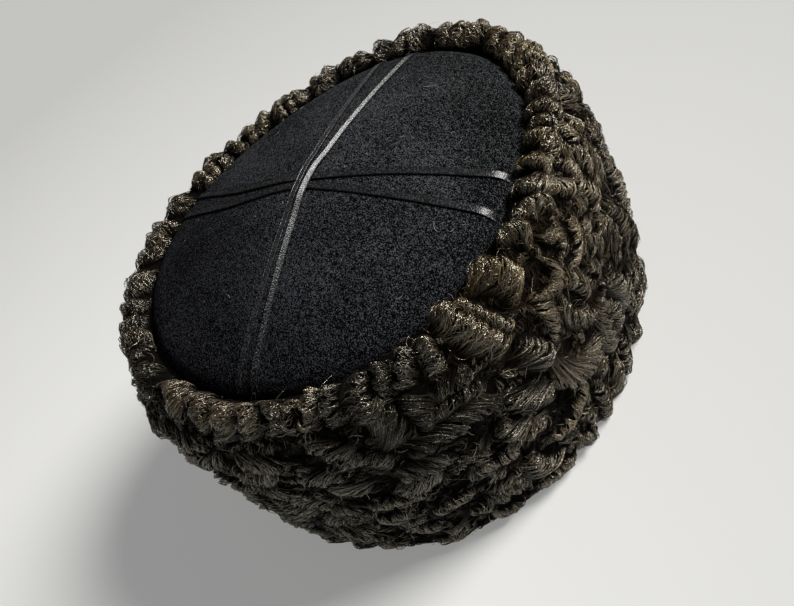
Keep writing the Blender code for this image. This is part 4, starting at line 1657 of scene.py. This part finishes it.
@dataclass
class RibbonCross:
    """Two pairs of satin ribbons over the crown.

    Attributes:
        form, crown: the hat's shape and the cloth that carries the ribbons.
        thick, gap: thickness of a ribbon, and its way from whatever is under it.
        middle: the cross's middle in the plan.
        end_radius: long half axis at which the ribbons end.
        bend: how rounded a ribbon's bend beside the middle is.
        offset: way of a pair's two ribbons from the middle.
        lift_flat, lift_end: ways from the middle between which the over pair comes down.
        stations: stations along a ribbon.
        ribs, rib_height: ribs across a ribbon, and their height.
        selvedge, selvedge_place, selvedge_reach: height, place and reach of the raised edges.
        edge_reach, edge_least: reach of the rounding at the edges, and the least share of thickness.
        under_points: points of the section's under side.
        finish, under_finish: finishes of the over pair and of the under pair.
        plans: the four ribbons.
    """

    form: HatForm
    crown: CrownCloth
    thick: float = 0.0005
    gap: float = 0.0003
    middle: tuple[float, float] = (-0.0008, -0.0030)
    end_radius: float = 0.0890
    bend: float = 0.07
    offset: float = 0.0016
    lift_flat: float = 0.0065
    lift_end: float = 0.0170
    stations: int = 84
    ribs: int = 9
    rib_height: float = 0.00018
    selvedge: float = 0.00014
    selvedge_place: float = 0.455
    selvedge_reach: float = 0.03
    edge_reach: float = 0.03
    edge_least: float = 0.45
    under_points: int = 7
    finish: SatinFinish = SatinFinish()
    # painted sheen: the under pair keeps its gloss on the halves towards +X+Y and is painted dull on the
    # others
    under_finish: SatinFinish = SatinFinish(
        "dull_satin", gloss=0.36, coat=0.06, worn=(0.044, 0.045, 0.048),
        dull=((0.0070, 0.0072, 0.0076), (0.0230, 0.0238, 0.0250)),
        painted_sheen_way=(0.85, 0.53, 0.0), painted_sheen_span=(-0.030, 0.030), painted_sheen_grain=(0.55, 0.80))
    plans: tuple[RibbonPlan, ...] = (
        RibbonPlan("ribbon_over_right", 305.2, 116.0, 1, Pair.OVER, 1.0, 0.0026, 3.0),
        RibbonPlan("ribbon_over_left", 300.3, 126.5, -1, Pair.OVER, 0.35, 0.0026, 4.0),
        RibbonPlan("ribbon_under_back", 207.5, 41.8, -1, Pair.UNDER, 0.15, 0.0033,
                   sway=(0.0031, -0.0008)),
        RibbonPlan("ribbon_under_front", 216.0, 29.2, 1, Pair.UNDER, 0.15, 0.0033,
                   sway=(0.0029, 0.0)))

    def line(self, plan: RibbonPlan) -> tuple[np.ndarray, np.ndarray]:
        """Plan of a ribbon's middle line and its sideways direction.

        Two straight runs leave a point beside the middle of the cross for their ends, and a
        hyperbola rounds the bend between them. Each run sways aside by a squared sine.

        Args:
            plan: the ribbon.

        Returns:
            Points of the middle line and unit vectors across it, both in the plan.
        """
        turns = np.radians([plan.first_turn, plan.last_turn])
        ends = self.form.place(turns, np.full(2, self.end_radius), np.zeros(2))[:, :2]
        along = unit(ends[1] - ends[0])
        start = np.array(self.middle) + self.offset * plan.side * np.array([along[1], -along[0]])
        share = np.linspace(-1, 1, self.stations)
        top = 1 + math.sqrt(1 + self.bend ** 2)
        forward = ((np.sqrt(share ** 2 + self.bend ** 2) + share) / top)[:, None]
        line = start + (ends[0] - start) * forward[::-1] + (ends[1] - start) * forward
        aside = np.where(share < 0, *plan.sway) * np.sin(math.pi * share) ** 2
        line = line + aside[:, None] * np.array([along[1], -along[0]])
        tangent = unit(np.gradient(line, axis=0))
        return line, np.stack([tangent[:, 1], -tangent[:, 0]], axis=1)

    def section(self, plan: RibbonPlan) -> tuple[np.ndarray, np.ndarray]:
        """Closed section: flat under side, and an upper side with straight-sided ribs.

        Args:
            plan: the ribbon.

        Returns:
            Place across the ribbon and height, for each corner of the section.
        """
        across = np.linspace(-0.5, 0.5, 4 * self.ribs + 1)
        ridge = 1 - np.abs(1 - 2 * ((self.ribs * (across + 0.5)) % 1.0))
        upper = self.thick - plan.ribbed * self.rib_height * (1 - ridge)
        edge = np.clip((0.5 - np.abs(across)) / self.edge_reach, 0, 1)
        upper = upper * (self.edge_least + (1 - self.edge_least) * np.sqrt(edge))
        beside = (np.abs(across) - self.selvedge_place) / self.selvedge_reach
        upper = upper + self.selvedge * np.exp(-beside ** 2)
        under = np.linspace(0.5, -0.5, self.under_points)
        return np.r_[across, under] * plan.width, np.r_[upper, np.zeros(len(under))]

    def build(self) -> list[bpy.types.Object]:
        """Carries the section along each ribbon's line over the cloth and closes its ends.

        Returns:
            The four ribbons, each of which stands for its solid.
        """
        materials = {Pair.OVER: self.finish.make(), Pair.UNDER: self.under_finish.make()}
        made = []
        for plan in self.plans:
            line, sideways = self.line(plan)
            across, up = self.section(plan)
            places = line[:, None, :] + across[None, :, None] * sideways[:, None, :]
            from_middle = np.linalg.norm(places - np.array(self.middle), axis=2)
            lift = 1 - smooth_step((from_middle - self.lift_flat) / (self.lift_end - self.lift_flat))
            lift = lift * ((self.thick + self.gap) if plan.pair is Pair.OVER else 0)
            rolled = math.tan(math.radians(plan.roll)) * (0.5 * plan.width - across * plan.side)
            height = self.crown.height_at(places) + self.gap + lift + up + np.abs(rolled)
            points = np.concatenate([places, height[..., None]], axis=2)
            caps = points[[0, -1]].mean(axis=1)
            faces = grid_faces(self.stations, len(across), closed=True)
            ring = np.arange(len(across))
            hub = self.stations * len(across)
            first = fan_faces(ring, hub, turned=True)
            last = fan_faces(hub - len(across) + ring, hub + 1)
            piece = mesh_object(plan.node + "_satin", np.concatenate([points.reshape(-1, 3), caps]),
                                np.concatenate([faces, first, last]))
            piece.data.materials.append(materials[plan.pair])
            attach(piece, "root")
            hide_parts(plan.node)
            made.append(piece)
        return made


@dataclass
class StrayHairs:
    """Single hairs that stand off the fur, and pale lint on the crown cloth."""

    form: HatForm
    curls: CurlMap
    crown: CrownCloth
    hair: bpy.types.Material
    seed: int = 4451
    stray_count: int = 1500
    stray_reach: Span = (0.0030, 0.0095)
    stray_rise: Span = (0.0006, 0.0030)
    stray_bend: Span = (0.3, 2.6)
    stray_width: float = 0.00019
    stray_widths: Span = (0.7, 1.2)
    stray_tone: Span = (0.35, 1.0)
    stray_sink: float = 0.0003
    rim_fade: float = 0.0022
    edge_gap: float = 0.003
    end_gap: float = 0.0006
    stations: int = 9
    # x, y, length, heading in degrees, bend
    lint_placed: Table = (
        (-0.0065, 0.0592, 0.0073, 27.0, 0.9),
        (0.0318, 0.0461, 0.0031, 97.0, 0.4),
        (0.0393, 0.0431, 0.0024, 69.0, 0.5),
        (0.0526, 0.0178, 0.0052, -66.0, 1.6),
        (0.0592, 0.0188, 0.0021, 70.0, 0.8),
        (0.0649, -0.0108, 0.0027, 56.0, 1.0),
        (0.0734, 0.003, 0.0034, 36.0, 0.7),
        (0.0899, -0.0212, 0.0023, 66.0, 0.9),
        (0.0732, 0.0247, 0.0044, -28.0, 1.9))
    lint_count: int = 34
    lint_radius: float = 0.074
    lint_length: Span = (0.0006, 0.0024)
    lint_bend: Span = (0.4, 2.5)
    lint_tone: float = 0.5
    lint_roll: float = 10.0
    lint_width: float = 0.00017
    lint_lift: float = 0.00025
    lint: LintFinish = LintFinish()

    @staticmethod
    def bent(reach: np.ndarray, heading: np.ndarray, bend: np.ndarray, share: np.ndarray
             ) -> tuple[np.ndarray, np.ndarray]:
        """Points of circular arcs that leave the origin along a heading and turn by a bend.

        Args:
            reach: length of each arc.
            heading: direction in which it sets out, in radians.
            bend: angle through which it turns, in radians.
            share: shares of the arc at which the points lie.

        Returns:
            The two coordinates of the points.
        """
        angle = heading[:, None] + bend[:, None] * share
        scale = (reach / bend)[:, None]
        return (scale * (np.sin(angle) - np.sin(heading)[:, None]),
                scale * (np.cos(heading)[:, None] - np.cos(angle)))

    def standing(self, rng: np.random.Generator) -> Strands:
        """Hairs that leave the fur's surface and curve away from it by 1 - (1 - share)^2.

        Args:
            rng: source of the random numbers.

        Returns:
            The hairs.
        """
        number = self.stray_count
        share = np.linspace(0, 1, self.stations)
        turn = rng.uniform(0, 2 * math.pi, number)
        drop = rng.uniform(self.edge_gap, self.form.end_of_drop - self.edge_gap, number)
        bend = rng.uniform(*self.stray_bend, number) * rng.choice([-1.0, 1.0], number)
        way, down = self.bent(rng.uniform(*self.stray_reach, number),
                              rng.uniform(0, 2 * math.pi, number), bend, share)
        start = self.curls.field.read(turn, drop) - self.stray_sink
        rise = rng.uniform(*self.stray_rise, number)[:, None] * (1 - (1 - share) ** 2)
        turns = turn[:, None] + way / self.form.nominal_radius
        drops = np.clip(drop[:, None] + down, self.end_gap, self.form.end_of_drop - self.end_gap)
        relief = start[:, None] + rise
        points = self.form.on_fur(turns, drops, relief, self.rim_fade)
        outward = points - self.form.on_fur(turns, drops, relief - OUTWARD_STEP, self.rim_fade)
        return Strands(points, np.cross(outward, np.gradient(points, axis=1)), outward,
                       rng.uniform(*self.stray_tone, number),
                       self.stray_width * rng.uniform(*self.stray_widths, number),
                       np.ones((number, self.stations)))

    def lying(self, rng: np.random.Generator) -> Strands:
        """Lint on the cloth: a few longer hairs given one by one, then short ones strewn evenly.

        Args:
            rng: source of the random numbers.

        Returns:
            The lint.
        """
        number = self.lint_count
        turn = rng.uniform(0, 2 * math.pi, number)
        radius = self.lint_radius * np.sqrt(rng.random(number))
        strewn = np.stack([radius * np.cos(turn), radius * np.sin(turn),
                           rng.uniform(*self.lint_length, number), rng.uniform(0, 360, number),
                           rng.uniform(*self.lint_bend, number)], axis=1)
        x, y, length, heading, bend = np.concatenate([np.array(self.lint_placed), strewn]).T
        share = np.linspace(0, 1, self.stations)
        east, north = self.bent(length, np.radians(heading), bend, share)
        plan = np.stack([x[:, None] + east, y[:, None] + north], axis=-1)
        height = self.crown.height_at(plan) + self.lint_lift
        points = np.concatenate([plan, height[..., None]], axis=-1)
        outward = np.zeros(points.shape) + (0.0, 0.0, 1.0)
        return Strands(points, np.cross(outward, np.gradient(points, axis=1)), outward,
                       np.full(len(x), self.lint_tone), np.full(len(x), self.lint_width),
                       np.ones((len(x), self.stations)))

    def build(self) -> list[bpy.types.Object]:
        """Makes the piece of standing hairs and the piece of lint.

        Returns:
            The two pieces.
        """
        rng = np.random.default_rng(self.seed)
        standing = self.standing(rng).join("fur_stray_hairs", rng)
        standing.data.materials.append(self.hair)
        lying = self.lying(rng).join("crown_lint", rng, roll=self.lint_roll)
        lying.data.materials.append(self.lint.make())
        for piece in (standing, lying):
            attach(piece, "root")
        return [standing, lying]


@dataclass(frozen=True)
class Studio:
    """Floor, lights and camera."""

    floor_radius: float = 1.1
    wall_radius: float = 5.0
    wall_height: float = 1.5
    floor_hole: float = 0.05
    floor_columns: int = 96
    floor_rows: int = 12
    wall_rows: int = 24
    key_turn: float = 77.5
    key_height: float = 38.0
    key_spread: float = 25.0
    key_strength: float = 5.2
    key_colour: Colour = (1.0, 0.985, 0.955)
    room_strength: float = 0.09
    room_colour: Colour = (0.86, 0.93, 1.0)
    camera_place: Triple = (0.26097, -0.03221, 0.31916)
    camera_right: Triple = (0.53059349, 0.72555525, -0.43822383)
    camera_up: Triple = (-0.48894491, 0.68430524, 0.54097987)
    focal_pixels: float = 834.09
    image_width: int = 794
    sensor_width: float = 36.0
    clip_start: float = 0.01

    def build_floor(self) -> bpy.types.Object:
        """A disc that rises at its far edge in a quarter round, so that no horizon shows.

        Returns:
            The floor.
        """
        turn = np.linspace(0, 2 * math.pi, self.floor_columns, endpoint=False)
        angle = np.linspace(0, 1, self.wall_rows)[1:] * math.pi / 2
        radius = np.r_[np.linspace(self.floor_hole, self.floor_radius, self.floor_rows),
                       self.floor_radius + (self.wall_radius - self.floor_radius) * np.sin(angle)]
        height = np.r_[np.zeros(self.floor_rows), self.wall_height * (1 - np.cos(angle))]
        points = np.stack([radius[:, None] * np.cos(turn), radius[:, None] * np.sin(turn),
                           height[:, None] + 0 * turn], axis=-1).reshape(-1, 3)
        points = np.concatenate([points, [(0, 0, 0)]])
        faces = grid_faces(len(radius), len(turn), closed=True)[:, ::-1]
        fan = fan_faces(np.arange(len(turn)), len(points) - 1)
        floor = mesh_object("studio_floor", points, np.concatenate([faces, fan]))
        floor.data.materials.append(FloorFinish().make())
        return floor

    def build_lights(self) -> None:
        """A soft key from the far side, as wide as a window, and weak even room light."""
        key = bpy.data.lights.new("key_light", "SUN")
        key.energy = self.key_strength
        key.angle = math.radians(self.key_spread)
        key.color = self.key_colour
        lamp = bpy.data.objects.new("key_light", key)
        bpy.context.scene.collection.objects.link(lamp)
        lamp.rotation_euler = (0, math.radians(90 - self.key_height), math.radians(self.key_turn))
        world = bpy.data.worlds.new("studio_room")
        world.use_nodes = True
        room = world.node_tree.nodes["Background"].inputs
        room["Color"].default_value = (*self.room_colour, 1)
        room["Strength"].default_value = self.room_strength
        bpy.context.scene.world = world
        bpy.context.scene.view_settings.view_transform = "Standard"

    def build_camera(self) -> bpy.types.Object:
        """The camera at the photograph's angle; its lens comes from the focal length in pixels.

        Returns:
            The camera.
        """
        lens = bpy.data.cameras.new("photo_camera")
        lens.sensor_fit = "HORIZONTAL"
        lens.sensor_width = self.sensor_width
        lens.lens = self.focal_pixels / self.image_width * lens.sensor_width
        lens.clip_start = self.clip_start
        camera = bpy.data.objects.new("photo_camera", lens)
        bpy.context.scene.collection.objects.link(camera)
        right, up = Vector(self.camera_right), Vector(self.camera_up)
        turn = Matrix((right, up, right.cross(up))).transposed()
        camera.matrix_world = Matrix.Translation(self.camera_place) @ turn.to_4x4()
        bpy.context.scene.camera = camera
        return camera


def corners(bounds: Any) -> list[list[float]]:
    """A box's two corners as plain lists."""
    return [[float(part) for part in corner] for corner in bounds]


def report(*pieces: bpy.types.Object) -> None:
    """Logs each piece's name and number of faces."""
    for piece in pieces:
        LOG.info("%s: %d faces", piece.name, len(piece.data.polygons))


def main() -> None:
    """Builds the pieces in order and reports each."""
    logging.basicConfig(level=logging.INFO, format="%(name)s: %(message)s")
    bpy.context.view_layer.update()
    studio = Studio()
    studio.build_camera()
    studio.build_floor()
    studio.build_lights()
    form = HatForm()
    curls = CurlMap(form)
    pelt = FurPelt(form, curls).build()
    report(pelt)
    locks = FurLocks(form, curls).build()
    report(*locks)
    cloth = CrownCloth(form)
    crown = cloth.build()
    ribbons = RibbonCross(form, cloth).build()
    report(crown, *ribbons)
    report(*StrayHairs(form, curls, cloth, locks[0].data.materials[0]).build())
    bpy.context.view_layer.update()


if __name__ == "__main__":
    main()
